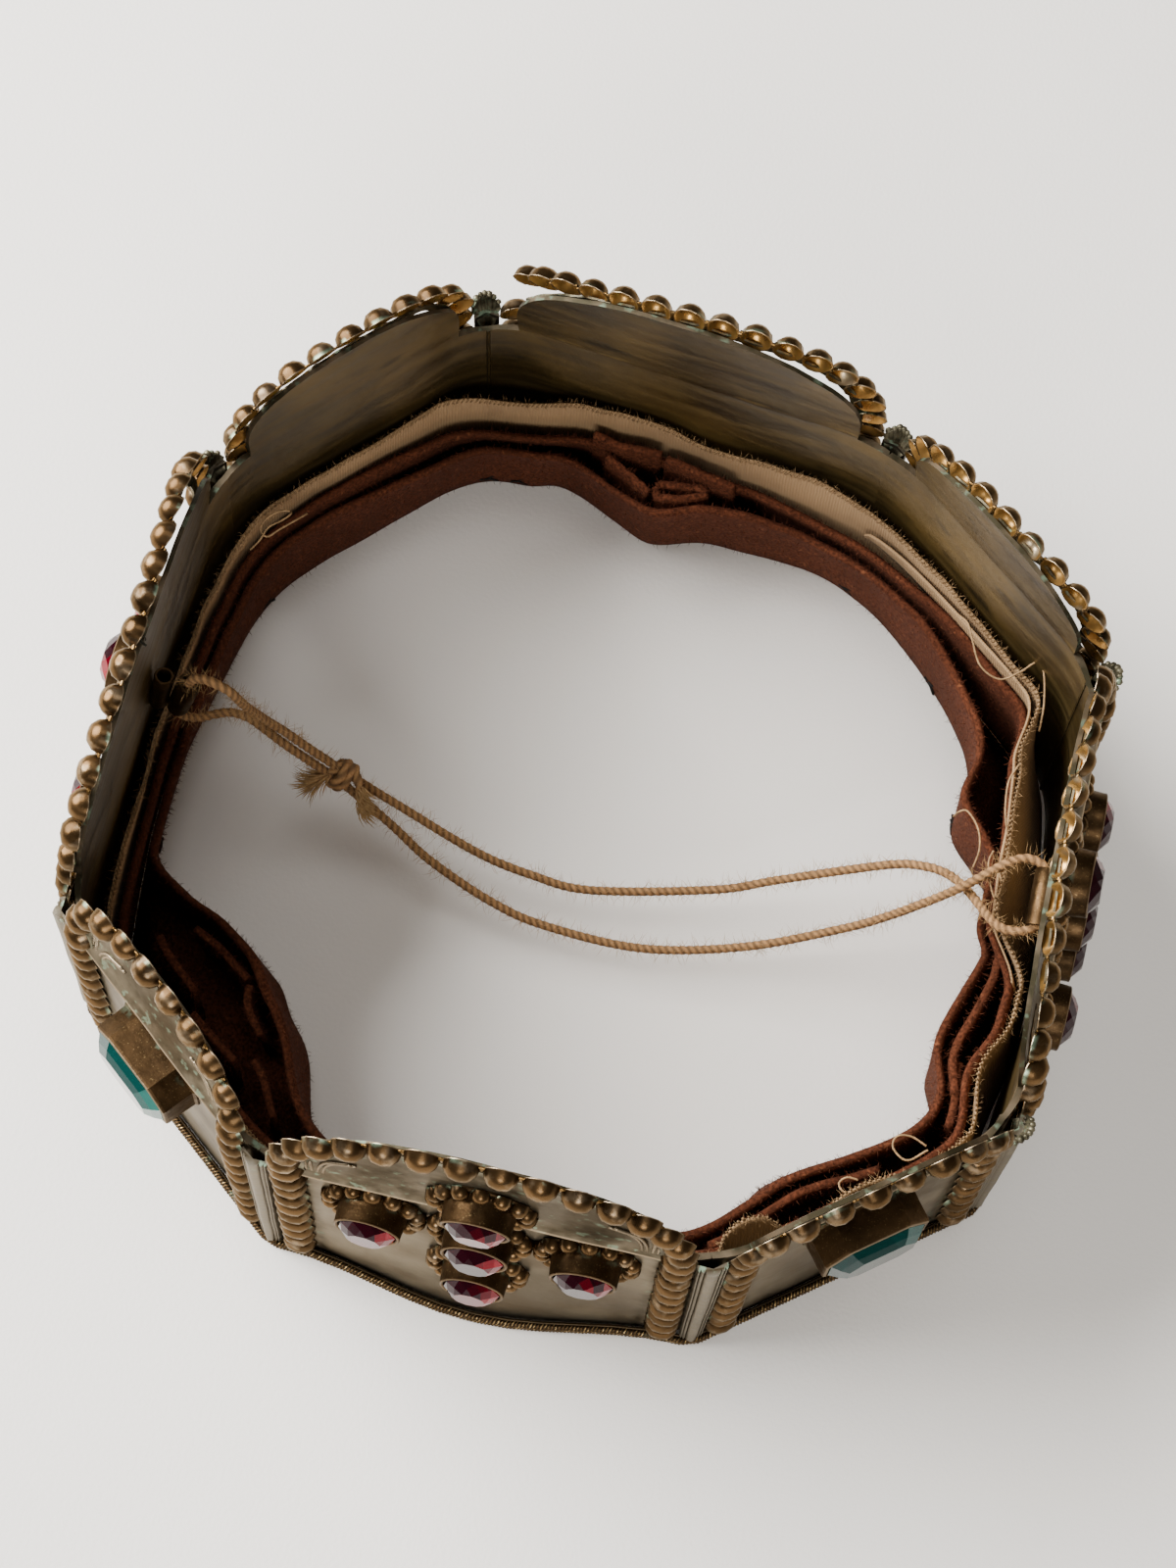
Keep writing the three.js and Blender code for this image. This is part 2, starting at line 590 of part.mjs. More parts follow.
// Base moulding: a flat-footed half-round band that follows every plate's foot
function buildMoulding() {
  const sections = [];
  panels.forEach((panel, i) => {
    const stops = panel.bow > 0 ? plateStations(panel).foot.slice(1, -1) : [];
    const section = (place) => [
      place(GAP, 0), place(MOULDING_DEPTH, 0), place(MOULDING_DEPTH, MOULDING_HEIGHT * MOULDING_ROUND),
      place(MOULDING_DEPTH * MOULDING_ROUND, MOULDING_HEIGHT), place(GAP, MOULDING_HEIGHT),
    ];
    sections.push(section((w, z) => wallCorner(i, 0, w).setZ(z)));
    for (const u of stops) {
      sections.push(section((w, z) => panel.place(u, 0, w).setZ(z)));
    }
  });
  addPiece('base_moulding', 'moulding', loft(sections, true));
}

// Lining rings, as distances from the axis at evenly spaced bearings
const bearings = Array.from({ length: RING_STEPS }, (_, k) => (2 * Math.PI * k) / RING_STEPS);

function wallDistance(bearing, z, inset) {
  const ray = new THREE.Vector2(Math.cos(bearing), Math.sin(bearing));
  const near = panels.reduce((sum, panel, i) => {
    const { along, out } = outward[i];
    const facing = ray.dot(out);
    if (facing < 1e-6) return sum;
    const flat = out.dot(wallCorner(i, z, -PLATE - inset)) / facing;
    const u = along.dot(ray) * flat - along.dot(panel.middle);
    const reach = flat + panel.dent(u, z / Math.cos(WALL_LEAN)) / facing;
    return sum + reach ** -CORNER_ROUNDING;
  }, 0);
  return near ** (-1 / CORNER_ROUNDING);
}

// Depth of the inner felt's bulge at a bearing and a share of its height, a smooth curve through the rows
function bulgeDepth(bearing, share) {
  const degrees = THREE.MathUtils.radToDeg(bearing);
  const next = BULGES.findIndex(({ at }) => at > degrees);
  const to = BULGES[Math.max(next, 0)];
  const from = BULGES.at(next > 0 ? next - 1 : -1);
  const t = THREE.MathUtils.smoothstep((degrees - from.at) / ((to.at - from.at + 360) % 360), 0, 1);
  const depth = (row) => THREE.MathUtils.lerp(row.foot, row.top, share);
  return THREE.MathUtils.lerp(depth(from), depth(to), t);
}

// How far the lining stands away from the wall at a bearing and height
function swayDepth(bearing, z) {
  const degrees = THREE.MathUtils.radToDeg(bearing);
  const share = z / LAYERS.linen_band.top;
  return SWAYS.reduce((sum, { at, half, ramp, depth }) => {
    const away = Math.abs(((degrees - at + 540) % 360) - 180);
    return sum + share * depth * THREE.MathUtils.smoothstep(half - away, 0, ramp);
  }, 0);
}

// Distances of a layer's outer and inner faces from the axis at a bearing and height
function layerFaces(name, bearing, z) {
  const { foot, top, footInset, topInset, thick } = LAYERS[name];
  const share = (z - foot) / (top - foot);
  const inset = THREE.MathUtils.lerp(footInset, topInset, share);
  const sway = swayDepth(bearing, z);
  const bulge = name === 'felt_inner' ? Math.max(sway, bulgeDepth(bearing, share)) : sway;
  const outer = wallDistance(bearing, z, inset) - bulge;
  return { outer, inner: outer - thick };
}

function polar(bearing, radius, z) {
  return new THREE.Vector3(radius * Math.cos(bearing), radius * Math.sin(bearing), z);
}

function buildLayer(name, finish) {
  const { foot, top } = LAYERS[name];
  const sections = bearings.map((bearing) => {
    const [low, high] = [layerFaces(name, bearing, foot), layerFaces(name, bearing, top)];
    return [
      polar(bearing, low.inner, foot), polar(bearing, low.outer, foot),
      polar(bearing, high.outer, top), polar(bearing, high.inner, top),
    ];
  });
  addPiece(name, finish, loft(sections, true));
}

// A wad fills the pocket between the two felts
function buildWad({ name, first, last }) {
  const sections = bearings.slice(first, last + 1).map((bearing) => {
    const far = (z) => polar(bearing, layerFaces('felt_outer', bearing, z).inner - WAD.behind, z);
    const near = (z) => polar(bearing, layerFaces('felt_inner', bearing, z).outer + WAD.before, z);
    return [near(WAD.foot), far(WAD.foot), far(WAD.top), near(WAD.top)];
  });
  addPiece(`felt_wad_${name}`, 'felt', loft(sections, false));
}

// A route whose steps fall on its own points, so that they are closer together in the bends
class Route extends THREE.CatmullRomCurve3 {
  getPointAt(t, target) {
    return this.getPoint(t, target);
  }

  getTangentAt(t, target) {
    return this.getTangent(t, target);
  }
}

// Twine
function twineAlong(curve, steps) {
  const outline = new THREE.Shape(Array.from({ length: TWINE_SIDES }, (_, k) => {
    const angle = (2 * Math.PI * k) / TWINE_SIDES;
    return new THREE.Vector2(TWINE_RADIUS * Math.cos(angle), TWINE_RADIUS * Math.sin(angle));
  }));
  return new THREE.ExtrudeGeometry(outline, { steps, extrudePath: curve });
}

function strand(route) {
  const curve = new Route(route.map((point) => new THREE.Vector3(...point)));
  return twineAlong(curve, route.length - 1);
}

function knotGeometry() {
  const { at, along, radius, hole, width, shoulder, sides } = KNOT;
  const bulge = [
    [hole, 0], [radius - shoulder, 0], [radius, shoulder], [radius, width - shoulder],
    [radius - shoulder, width], [hole, width], [hole, 0],
  ];
  const ring = new THREE.LatheGeometry(bulge.map(([r, z]) => new THREE.Vector2(r, z - width / 2)), sides);
  const axis = new THREE.Vector3(...along).normalize();
  const turn = new THREE.Quaternion().setFromUnitVectors(new THREE.Vector3(0, 1, 0), axis);
  let solid = toSolid(ring.applyQuaternion(turn));
  for (const { reach } of KNOT_TAILS) {
    const way = new THREE.Vector3(...reach);
    const start = way.clone().projectOnPlane(axis).setLength((radius + hole) / 2);
    const tail = new THREE.LineCurve3(start, start.clone().add(way));
    solid = solid.add(toSolid(twineAlong(tail, 1)));
  }
  return fromSolid(solid).translate(...at);
}

for (const panel of panels) {
  buildPlate(panel);
  buildBorder(panel);
  buildStones(panel);
}
CORNERS.forEach(buildPost);
buildMoulding();
buildLayer('linen_band', 'linen');
buildLayer('felt_outer', 'felt');
buildLayer('felt_inner', 'felt');
WADS.forEach(buildWad);
addPiece('twine_upper', 'twine', strand(TWINE_UPPER));
addPiece('twine_lower', 'twine', strand(TWINE_LOWER));
addPiece('twine_knot', 'twine', knotGeometry());

// The origin is the middle of the crown's foot
const middle = new THREE.Box3().setFromObject(crown).getCenter(new THREE.Vector3());
crown.position.set(-middle.x, -middle.y, 0);

export default crown;
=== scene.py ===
"""Octagonal stage crown: the visible pieces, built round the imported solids.

Eight arched brass plates with bead borders, set stones, a linen and felt lining and a loop of twine.
Plan sizes are millimetres and heights are above the foot; every finished mesh is in metres.
"""

import json
import math
import random
from collections import namedtuple

import bmesh
import bpy
from mathutils import Matrix, Vector, noise
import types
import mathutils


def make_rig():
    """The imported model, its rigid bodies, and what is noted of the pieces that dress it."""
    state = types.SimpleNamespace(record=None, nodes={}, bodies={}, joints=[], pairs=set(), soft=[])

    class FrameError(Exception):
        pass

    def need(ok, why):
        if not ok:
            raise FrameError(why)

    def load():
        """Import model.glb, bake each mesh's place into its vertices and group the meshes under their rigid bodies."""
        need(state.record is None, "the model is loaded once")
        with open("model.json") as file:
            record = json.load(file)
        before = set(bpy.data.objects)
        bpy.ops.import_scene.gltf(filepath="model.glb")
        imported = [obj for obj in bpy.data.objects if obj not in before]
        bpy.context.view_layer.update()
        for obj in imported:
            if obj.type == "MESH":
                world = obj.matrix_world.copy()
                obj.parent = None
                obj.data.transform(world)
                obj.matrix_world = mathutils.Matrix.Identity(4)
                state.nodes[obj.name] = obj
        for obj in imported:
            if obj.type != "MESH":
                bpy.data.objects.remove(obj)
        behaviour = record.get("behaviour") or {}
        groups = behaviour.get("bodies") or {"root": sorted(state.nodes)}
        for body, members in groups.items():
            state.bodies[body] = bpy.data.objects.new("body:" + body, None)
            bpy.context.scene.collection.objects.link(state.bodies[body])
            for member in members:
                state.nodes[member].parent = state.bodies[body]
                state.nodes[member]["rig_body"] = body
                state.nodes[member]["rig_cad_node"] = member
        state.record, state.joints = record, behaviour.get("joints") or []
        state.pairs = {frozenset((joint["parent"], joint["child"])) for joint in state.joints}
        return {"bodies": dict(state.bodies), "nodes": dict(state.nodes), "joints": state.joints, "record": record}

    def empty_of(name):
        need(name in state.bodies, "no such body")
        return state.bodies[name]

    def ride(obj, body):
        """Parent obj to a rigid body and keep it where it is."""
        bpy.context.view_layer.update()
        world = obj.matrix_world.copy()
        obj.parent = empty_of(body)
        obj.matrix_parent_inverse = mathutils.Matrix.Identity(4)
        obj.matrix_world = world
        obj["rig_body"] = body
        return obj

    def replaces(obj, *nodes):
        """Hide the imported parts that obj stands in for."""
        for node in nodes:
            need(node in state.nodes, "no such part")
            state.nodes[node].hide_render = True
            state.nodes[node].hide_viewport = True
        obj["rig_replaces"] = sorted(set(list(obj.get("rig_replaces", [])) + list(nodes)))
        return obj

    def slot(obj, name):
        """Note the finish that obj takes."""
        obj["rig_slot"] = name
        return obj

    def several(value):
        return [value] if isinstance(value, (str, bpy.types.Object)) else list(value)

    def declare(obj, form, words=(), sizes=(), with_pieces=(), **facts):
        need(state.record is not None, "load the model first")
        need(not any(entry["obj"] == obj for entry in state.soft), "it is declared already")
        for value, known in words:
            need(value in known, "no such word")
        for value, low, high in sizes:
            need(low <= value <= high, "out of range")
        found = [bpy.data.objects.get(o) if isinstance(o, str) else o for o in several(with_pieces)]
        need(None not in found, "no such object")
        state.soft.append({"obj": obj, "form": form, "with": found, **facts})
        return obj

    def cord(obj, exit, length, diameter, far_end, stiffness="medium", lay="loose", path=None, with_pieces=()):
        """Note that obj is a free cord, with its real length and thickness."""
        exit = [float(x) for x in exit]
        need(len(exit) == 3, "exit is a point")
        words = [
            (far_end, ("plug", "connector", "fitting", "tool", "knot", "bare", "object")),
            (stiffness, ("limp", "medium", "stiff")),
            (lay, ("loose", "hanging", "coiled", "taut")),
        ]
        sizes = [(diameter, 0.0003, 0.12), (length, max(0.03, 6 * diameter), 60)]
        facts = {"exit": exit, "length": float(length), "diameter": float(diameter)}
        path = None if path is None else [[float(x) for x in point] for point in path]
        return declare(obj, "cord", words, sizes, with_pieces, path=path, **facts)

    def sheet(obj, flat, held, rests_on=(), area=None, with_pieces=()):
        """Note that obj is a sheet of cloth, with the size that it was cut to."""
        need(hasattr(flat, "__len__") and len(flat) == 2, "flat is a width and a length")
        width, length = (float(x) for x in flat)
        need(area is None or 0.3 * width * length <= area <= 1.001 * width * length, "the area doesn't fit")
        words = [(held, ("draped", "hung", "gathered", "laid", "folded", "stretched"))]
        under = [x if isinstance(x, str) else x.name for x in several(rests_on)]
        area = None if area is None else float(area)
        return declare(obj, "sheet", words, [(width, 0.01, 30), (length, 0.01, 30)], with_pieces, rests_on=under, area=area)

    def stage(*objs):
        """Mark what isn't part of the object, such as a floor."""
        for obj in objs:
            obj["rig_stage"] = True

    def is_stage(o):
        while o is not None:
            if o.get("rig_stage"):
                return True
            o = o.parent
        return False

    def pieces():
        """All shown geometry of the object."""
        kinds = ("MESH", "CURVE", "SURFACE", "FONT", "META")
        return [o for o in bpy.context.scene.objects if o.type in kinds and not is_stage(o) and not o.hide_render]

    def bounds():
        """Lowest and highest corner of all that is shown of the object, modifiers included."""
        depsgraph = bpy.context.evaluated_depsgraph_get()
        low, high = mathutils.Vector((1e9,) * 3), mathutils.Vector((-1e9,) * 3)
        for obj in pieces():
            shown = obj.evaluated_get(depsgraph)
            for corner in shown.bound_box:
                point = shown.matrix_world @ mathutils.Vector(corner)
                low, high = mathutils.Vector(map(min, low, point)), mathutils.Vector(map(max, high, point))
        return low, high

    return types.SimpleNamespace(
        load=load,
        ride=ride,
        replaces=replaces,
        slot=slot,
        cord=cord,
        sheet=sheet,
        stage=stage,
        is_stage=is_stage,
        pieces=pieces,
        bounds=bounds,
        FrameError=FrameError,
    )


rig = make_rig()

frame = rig.load()
CAD_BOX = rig.bounds()

bl_info = {
    "name": "Stage crown",
    "version": (1, 0, 0),
    "blender": (4, 5, 0),
    "location": "View3D > Sidebar > Crown",
    "description": "Builds the visible pieces of an octagonal stage crown round its packed solids",
    "category": "Object",
}

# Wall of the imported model, in millimetres
MM = 0.001
SHIFT = Vector((-1.1235, -1.4887, 0.0))
WALL_HEIGHT = 74.0
WALL_LEAN = math.radians(5)
PLATE = 1.0
PLATE_END = 0.7
GAP = 0.3
ARCH_POWER = 2.25
SPRING = 6.0
RISE = {True: 34.0, False: 19.5}
BORDER_INSET = 7.0
BORDER_FOOT = 4.4
EDGE_INSET = 1.6
POST_FOOT = 4.0
CROSS_ARM = 22.6
CROSS_HEIGHT = 61.0
BLOCK_HEIGHT = 58.0
COLLET_DEPTH = 6.0
BLOCK_DEPTH = 8.0

Corner = namedtuple("Corner", "x y tip")
CORNERS = [
    Corner(-47.5, -97, 0), Corner(47.5, -96, 0), Corner(102, -53.5, 3), Corner(104, 49.5, 4),
    Corner(48, 95, 4.5), Corner(-51.5, 105, 5), Corner(-100.5, 50, 4), Corner(-101, -57, 0),
]

# lean: the lunette's lean from upright in degrees. bow: how far the foot is dented out. curl: how far
# the beads at the top of the arch have bent over, in degrees, outwards above 0 and inwards below it.
# spring: how far the bead strip has come off the plate.
Row = namedtuple("Row", "name wide lean bow curl spring")
PLATES = [
    Row("front", True, 3.5, 6, 0, 0), Row("front_right", False, -3, 0, 0, 0),
    Row("right", True, 13.5, 5, 34, 1.4), Row("back_right", False, 12.5, 0, 17, 2.2),
    Row("back", True, 14, 4, 14, 2.2), Row("back_left", False, 7, 0, -16, 1.0),
    Row("left", True, 11, 5, -26, 2.4), Row("front_left", False, 14, 0, 0, 0),
]

# Lining layers: heights of the foot and top edge, insets of the outer face there, and thickness
Layer = namedtuple("Layer", "foot top foot_inset top_inset thick")
LAYERS = {
    "linen_band": Layer(1, 49, 0.6, 2.6, 0.8),
    "felt_outer": Layer(5, 41, 1.9, 4.4, 2.2),
    "felt_inner": Layer(5, 37, 4.6, 7.2, 2.2),
}
CORNER_ROUNDING = 24

# Inner felt's bulges: bearing from +X in degrees and depth into the hollow at the foot and top edge
Bulge = namedtuple("Bulge", "at foot top")
BULGES = [
    Bulge(0, 2.5, 2.5), Bulge(7, 3.5, 3), Bulge(13, 10.5, 9), Bulge(20, 17, 15), Bulge(26, 12, 10.5),
    Bulge(33, 6.5, 6), Bulge(44, 2, 2), Bulge(55, 0.5, 0.5), Bulge(68, 0.5, 0.5), Bulge(78, 4, 4),
    Bulge(85, 6.5, 7), Bulge(93, 12, 12), Bulge(99, 8.5, 9), Bulge(107, 2, 2), Bulge(112, 3.5, 2.5),
    Bulge(124, 1, 1), Bulge(150, 0, 0), Bulge(190, 0, 0), Bulge(198, 1, 0.5), Bulge(204, 15, 10),
    Bulge(209, 27, 19), Bulge(215, 30, 22), Bulge(222, 26.5, 19), Bulge(230, 23, 15.5),
    Bulge(239, 13, 8), Bulge(250, 4, 2.5), Bulge(265, 1.5, 1), Bulge(285, 1.5, 1), Bulge(297, 5, 2.5),
    Bulge(306, 12, 5.5), Bulge(313, 15.5, 7), Bulge(321, 11, 5.5), Bulge(330, 8, 4.5),
    Bulge(336, 6, 5), Bulge(341, 11, 9), Bulge(350, 7.5, 6.5),
]

# Where the whole lining stands away from the wall: bearing, half width and slope in degrees, and depth
Sway = namedtuple("Sway", "at half ramp depth")
SWAYS = [Sway(11, 20, 9, 9), Sway(114, 10, 10, 4), Sway(339, 8, 8, 4.5)]

# Twine: the route of each strand from the left tubes to the right one
TWINE_UPPER = [
    (-92.7, -0.05, 66.8), (-91.4, 0.3, 70.7), (-90.2, 0.4, 72.7), (-88.2, 0.3, 74), (-85.9, 0, 74.3),
    (-83.7, -0.3, 73.75), (-81.95, -0.5, 72.3), (-80.9, -0.55, 70), (-80, -0.25, 66), (-78.5, 0.6, 60),
    (-76.3, 1.5, 53.6), (-73, 1.9, 48.2), (-69, 1.55, 43.5), (-65, 1.2, 39.1), (-60, 0.75, 33.9),
    (-54.2, 0.1, 28.7), (-46, -1.4, 24.2), (-26, -5.7, 16.4), (-12, -7.2, 13.6), (3, -7.1, 12.6),
    (32, -0.6, 15.8), (46, 4, 20.4), (69, 9.9, 32), (77, 10.2, 36.8), (82.6, 8.3, 40.8), (87.2, 4, 45.2),
    (92.6, -3.6, 51.6), (94.9, -5.5, 53.4), (97.4, -6.1, 54.8), (100, -5.6, 55.8), (102.1, -4.1, 56.45),
    (102.75, -3.4, 56.6),
]
TWINE_LOWER = [
    (-95.1, -0.85, 59.5), (-96.1, -1.2, 56.4), (-96.4, -1.3, 54.1), (-95.6, -1.2, 51.9),
    (-94, -0.8, 50.2), (-91.8, 0.2, 49.3), (-89, 1.6, 49.5), (-85.4, 2.6, 50.3), (-81.3, 2.4, 50),
    (-77.6, 1.4, 48.2), (-74, 0.4, 45.6), (-70, -0.2, 41.6), (-66, -0.55, 37.2), (-61, -1, 32),
    (-54.6, -2.8, 26.6), (-46, -6.4, 22.6), (-36, -11, 18), (-20, -15.8, 12.8), (-6, -17.8, 10.2),
    (18, -17.4, 9.4), (42, -12, 13.2), (63, -4.9, 22.8), (72, -1.8, 30.6), (79, 0.8, 39.2),
    (84.2, 2.9, 46.6), (88.3, 5.3, 51.5), (91.6, 7.7, 54.5), (94.6, 9.6, 56.4), (97.3, 10.4, 57.4),
    (99.95, 9.9, 57.9), (102, 8.4, 58), (102.65, 7.7, 57.9),
]
TWINE_LENGTH = {"upper": 0.2503, "lower": 0.2459}
KNOT_AT = Vector((-60, 0, 33))
KNOT_ALONG = Vector((0.72, -0.1, -0.69)).normalized()


def srgb(red, green, blue):
    """A colour by its everyday 0 to 255 values, as the linear numbers that a shader takes."""
    def channel(value):
        share = value / 255
        return share / 12.92 if share <= 0.04045 else ((share + 0.055) / 1.055) ** 2.4
    return channel(red), channel(green), channel(blue)


def length_property(label, about, millimetres):
    return bpy.props.FloatProperty(
        name=label, description=about, default=millimetres * MM, unit="LENGTH", precision=5)


def colour_property(label, about, *values):
    return bpy.props.FloatVectorProperty(
        name=label, description=about, default=srgb(*values), size=3, min=0, max=1, subtype="COLOR")


class CrownSizes(bpy.types.PropertyGroup):
    """Sizes of the small pieces that are set on the wall"""
    bead_radius: length_property("Bead radius", "Radius of a border bead at its rim", 3.6)
    bead_height: length_property("Bead height", "How far a border bead stands out", 3.4)
    bead_pitch: length_property("Bead pitch", "Distance between border beads", 7.5)
    rosette_bead: length_property("Rosette bead", "Radius of a bead round a collet", 2.2)
    rosette_radius: length_property("Rosette radius", "Radius of the ring of beads round a collet", 9.5)
    collet_radius: length_property("Collet radius", "Outer radius of a round collet", 7.1)
    twine_radius: length_property("Twine radius", "Radius of the twine", 1.05)
    rope_radius: length_property("Rope radius", "Radius of each rope in the base moulding", 0.85)
    rosette_beads: bpy.props.IntProperty(
        name="Rosette beads", description="Number of beads round a collet", default=14, min=6)
    seed: bpy.props.IntProperty(
        name="Seed", description="Start of everything uneven about the crown", default=11)


class CrownColours(bpy.types.PropertyGroup):
    """Main colours of the finishes"""
    plate: colour_property("Plate", "Grey metal of the plates' outer faces", 126, 116, 98)
    inside: colour_property("Plate inside", "Olive brass of the plates' inner faces", 96, 79, 46)
    bead: colour_property("Bead", "Brown bronze of the beads", 93, 69, 42)
    gilt: colour_property("Gilt", "Gold inside the hollow beads", 196, 150, 84)
    # This colour also paints the reflection line at the beads' rims and the highlight along the plates' lip.
    worn: colour_property("Worn edge", "Bare metal of rims and worn edges", 172, 152, 124)
    silver: colour_property("Silver", "Bare metal of the corner posts", 136, 128, 112)
    verdigris: colour_property("Verdigris", "Green crust in the joints", 130, 152, 128)
    ruby: colour_property("Ruby", "Red glass", 186, 0, 32)
    teal: colour_property("Teal", "Green glass", 4, 120, 108)
    linen: colour_property("Linen", "Linen band", 172, 138, 98)
    felt: colour_property("Felt", "Felt layers", 98, 54, 35)
    jute: colour_property("Jute", "Twine", 156, 115, 71)


def metres(point):
    return (Vector(point) + SHIFT) * MM


# Wall geometry
def unit(x, y):
    return Vector((x, y)).normalized()


ALONG = []
for here, after in zip(CORNERS, CORNERS[1:] + CORNERS[:1]):
    ALONG.append(unit(after.x - here.x, after.y - here.y))
OUT = [Vector((a.y, -a.x)) for a in ALONG]


def wall_corner(i, z, w=0.0):
    """Corner of the wall at height z, with both its plates moved out by w."""
    before, after = OUT[(i - 1) % 8], OUT[i % 8]
    bisector = (before + after).normalized()
    shift = (WALL_HEIGHT - z) * math.tan(WALL_LEAN) + w / math.cos(WALL_LEAN)
    reach = shift / bisector.dot(after)
    corner = CORNERS[i % 8]
    return Vector((corner.x + bisector.x * reach, corner.y + bisector.y * reach, z))


class Plate:
    """A plate's own coordinates: u along it from its middle, v up its slope, w out of its outer face."""

    def __init__(self, row, i):
        self.row, self.index, self.name, self.wide = row, i, row.name, row.wide
        self.crease = WALL_HEIGHT / math.cos(WALL_LEAN)
        left, right = wall_corner(i, WALL_HEIGHT), wall_corner(i + 1, WALL_HEIGHT)
        self.middle = (left + right) / 2
        self.width = (right - left).length
        self.half = self.width / 2 - BORDER_INSET
        self.rise = RISE[row.wide]
        self.e = ALONG[i].to_3d()
        self.n = OUT[i].to_3d()

    def side_at(self, end, v):
        return (wall_corner(self.index + end, v * math.cos(WALL_LEAN)) - self.middle).dot(self.e)

    def dent(self, u, v):
        if v > self.crease:
            return 0.0
        return self.row.bow * (1 - v / self.crease) * math.cos(math.pi * u / self.width) ** 2

    def place(self, u, v, w=0.0):
        angle = math.radians(self.row.lean) if v > self.crease else WALL_LEAN
        rise = v - self.crease
        reach = -rise * math.sin(angle) + (w + self.dent(u, v)) * math.cos(angle)
        z = WALL_HEIGHT + rise * math.cos(angle) + w * math.sin(angle)
        point = self.middle + self.e * u + self.n * reach
        return Vector((point.x, point.y, max(z, 0.0)))

    def axes(self, u, v):
        """Unit vectors along the plate, up it and out of it."""
        x = (self.place(u + 1, v) - self.place(u - 1, v)).normalized()
        y = (self.place(u, v + 1) - self.place(u, v - 1)).normalized()
        z = x.cross(y).normalized()
        return x, z.cross(x), z

    def standing(self, u, v, w=0.0):
        """A matrix in millimetres for what stands on the plate at a point."""
        x, y, z = self.axes(u, v)
        turn = Matrix((x, y, z)).transposed().to_4x4()
        return Matrix.Translation(self.place(u, v, w)) @ turn

    def arch_top(self, u, inset):
        half, rise = self.half - inset, self.rise - inset
        share = max(0.0, 1 - abs(u / half) ** ARCH_POWER)
        return self.crease + SPRING + rise * share ** (1 / ARCH_POWER)


WALL = [Plate(row, i) for i, row in enumerate(PLATES)]
PLATE_BY_NAME = {plate.name: plate for plate in WALL}


def wall_distance(bearing, z, inset):
    """Distance of the wall's inner face from the axis along a bearing, its corners rounded."""
    ray = Vector((math.cos(bearing), math.sin(bearing)))
    near = 0.0
    for i, plate in enumerate(WALL):
        facing = ray.dot(OUT[i])
        if facing < 1e-6:
            continue
        flat = OUT[i].dot(wall_corner(i, z, -PLATE - inset).to_2d()) / facing
        u = ALONG[i].dot(ray) * flat - ALONG[i].dot(plate.middle.to_2d())
        near += (flat + plate.dent(u, z / math.cos(WALL_LEAN)) / facing) ** -CORNER_ROUNDING
    return near ** (-1 / CORNER_ROUNDING)


def bulge_depth(bearing, share):
    """Depth of the inner felt's bulges, on a smooth curve through the rows of the table."""
    degrees = math.degrees(bearing) % 360
    later = [k for k, row in enumerate(BULGES) if row.at > degrees]
    k = later[0] if later else 0
    rows = [BULGES[(k + step) % len(BULGES)] for step in (-2, -1, 0, 1)]
    a, b, c, d = (row.foot + (row.top - row.foot) * share for row in rows)
    gaps = [(after.at - row.at) % 360 for row, after in zip(rows, rows[1:])]
    t = (degrees - rows[1].at) % 360 / gaps[1]
    rise_b = (c - a) / (gaps[0] + gaps[1]) * gaps[1]
    rise_c = (d - b) / (gaps[1] + gaps[2]) * gaps[1]
    fade = t * t * (3 - 2 * t)
    return b + (c - b) * fade + rise_b * t * (1 - t) ** 2 - rise_c * t * t * (1 - t)


def sway_depth(bearing, z):
    """How far the lining stands away from the wall."""
    total = 0.0
    for sway in SWAYS:
        away = abs((math.degrees(bearing) - sway.at + 540) % 360 - 180)
        t = max(0.0, min(1.0, (sway.half - away) / sway.ramp))
        total += sway.depth * t * t * (3 - 2 * t)
    return total * z / LAYERS["linen_band"].top


def layer_distance(name, bearing, z):
    """Distance of a lining layer's outer face from the axis."""
    layer = LAYERS[name]
    share = (z - layer.foot) / (layer.top - layer.foot)
    inset = layer.foot_inset + (layer.top_inset - layer.foot_inset) * share
    depth = sway_depth(bearing, z)
    if name == "felt_inner":
        depth = max(depth, bulge_depth(bearing, share))
    return wall_distance(bearing, z, inset) - depth


def polar(bearing, radius, z):
    return Vector((radius * math.cos(bearing), radius * math.sin(bearing), z))


# Mesh helpers
def make_object(name, data):
    thing = bpy.data.objects.new(name, data)
    bpy.context.scene.collection.objects.link(thing)
    return thing


def make_mesh(name, points, faces, finishes, indices=None, uvs=None, smooth=True, outward=True):
    """A mesh object from points in millimetres. uvs are for each face corner, in metres."""
    mesh = bpy.data.meshes.new(name)
    mesh.from_pydata([metres(p) for p in points], [], faces)
    for finish in finishes:
        mesh.materials.append(finish)
    if indices:
        mesh.polygons.foreach_set("material_index", indices)
    if uvs:
        layer = mesh.uv_layers.new(name="lay")
        for loop, uv in zip(layer.data, [uv for face in uvs for uv in face]):
            loop.uv = uv
    mesh.polygons.foreach_set("use_smooth", [smooth] * len(mesh.polygons))
    if outward:
        face_outward(mesh)
    mesh.update()
    return make_object(name, mesh)


def face_outward(mesh):
    work = bmesh.new()
    work.from_mesh(mesh)
    bmesh.ops.recalc_face_normals(work, faces=work.faces)
    work.to_mesh(mesh)
    work.free()


def set_values(thing, name, values):
    """A named number on every point, for the finish to read."""
    layer = thing.data.attributes.new(name, "FLOAT", "POINT")
    layer.data.foreach_set("value", values)


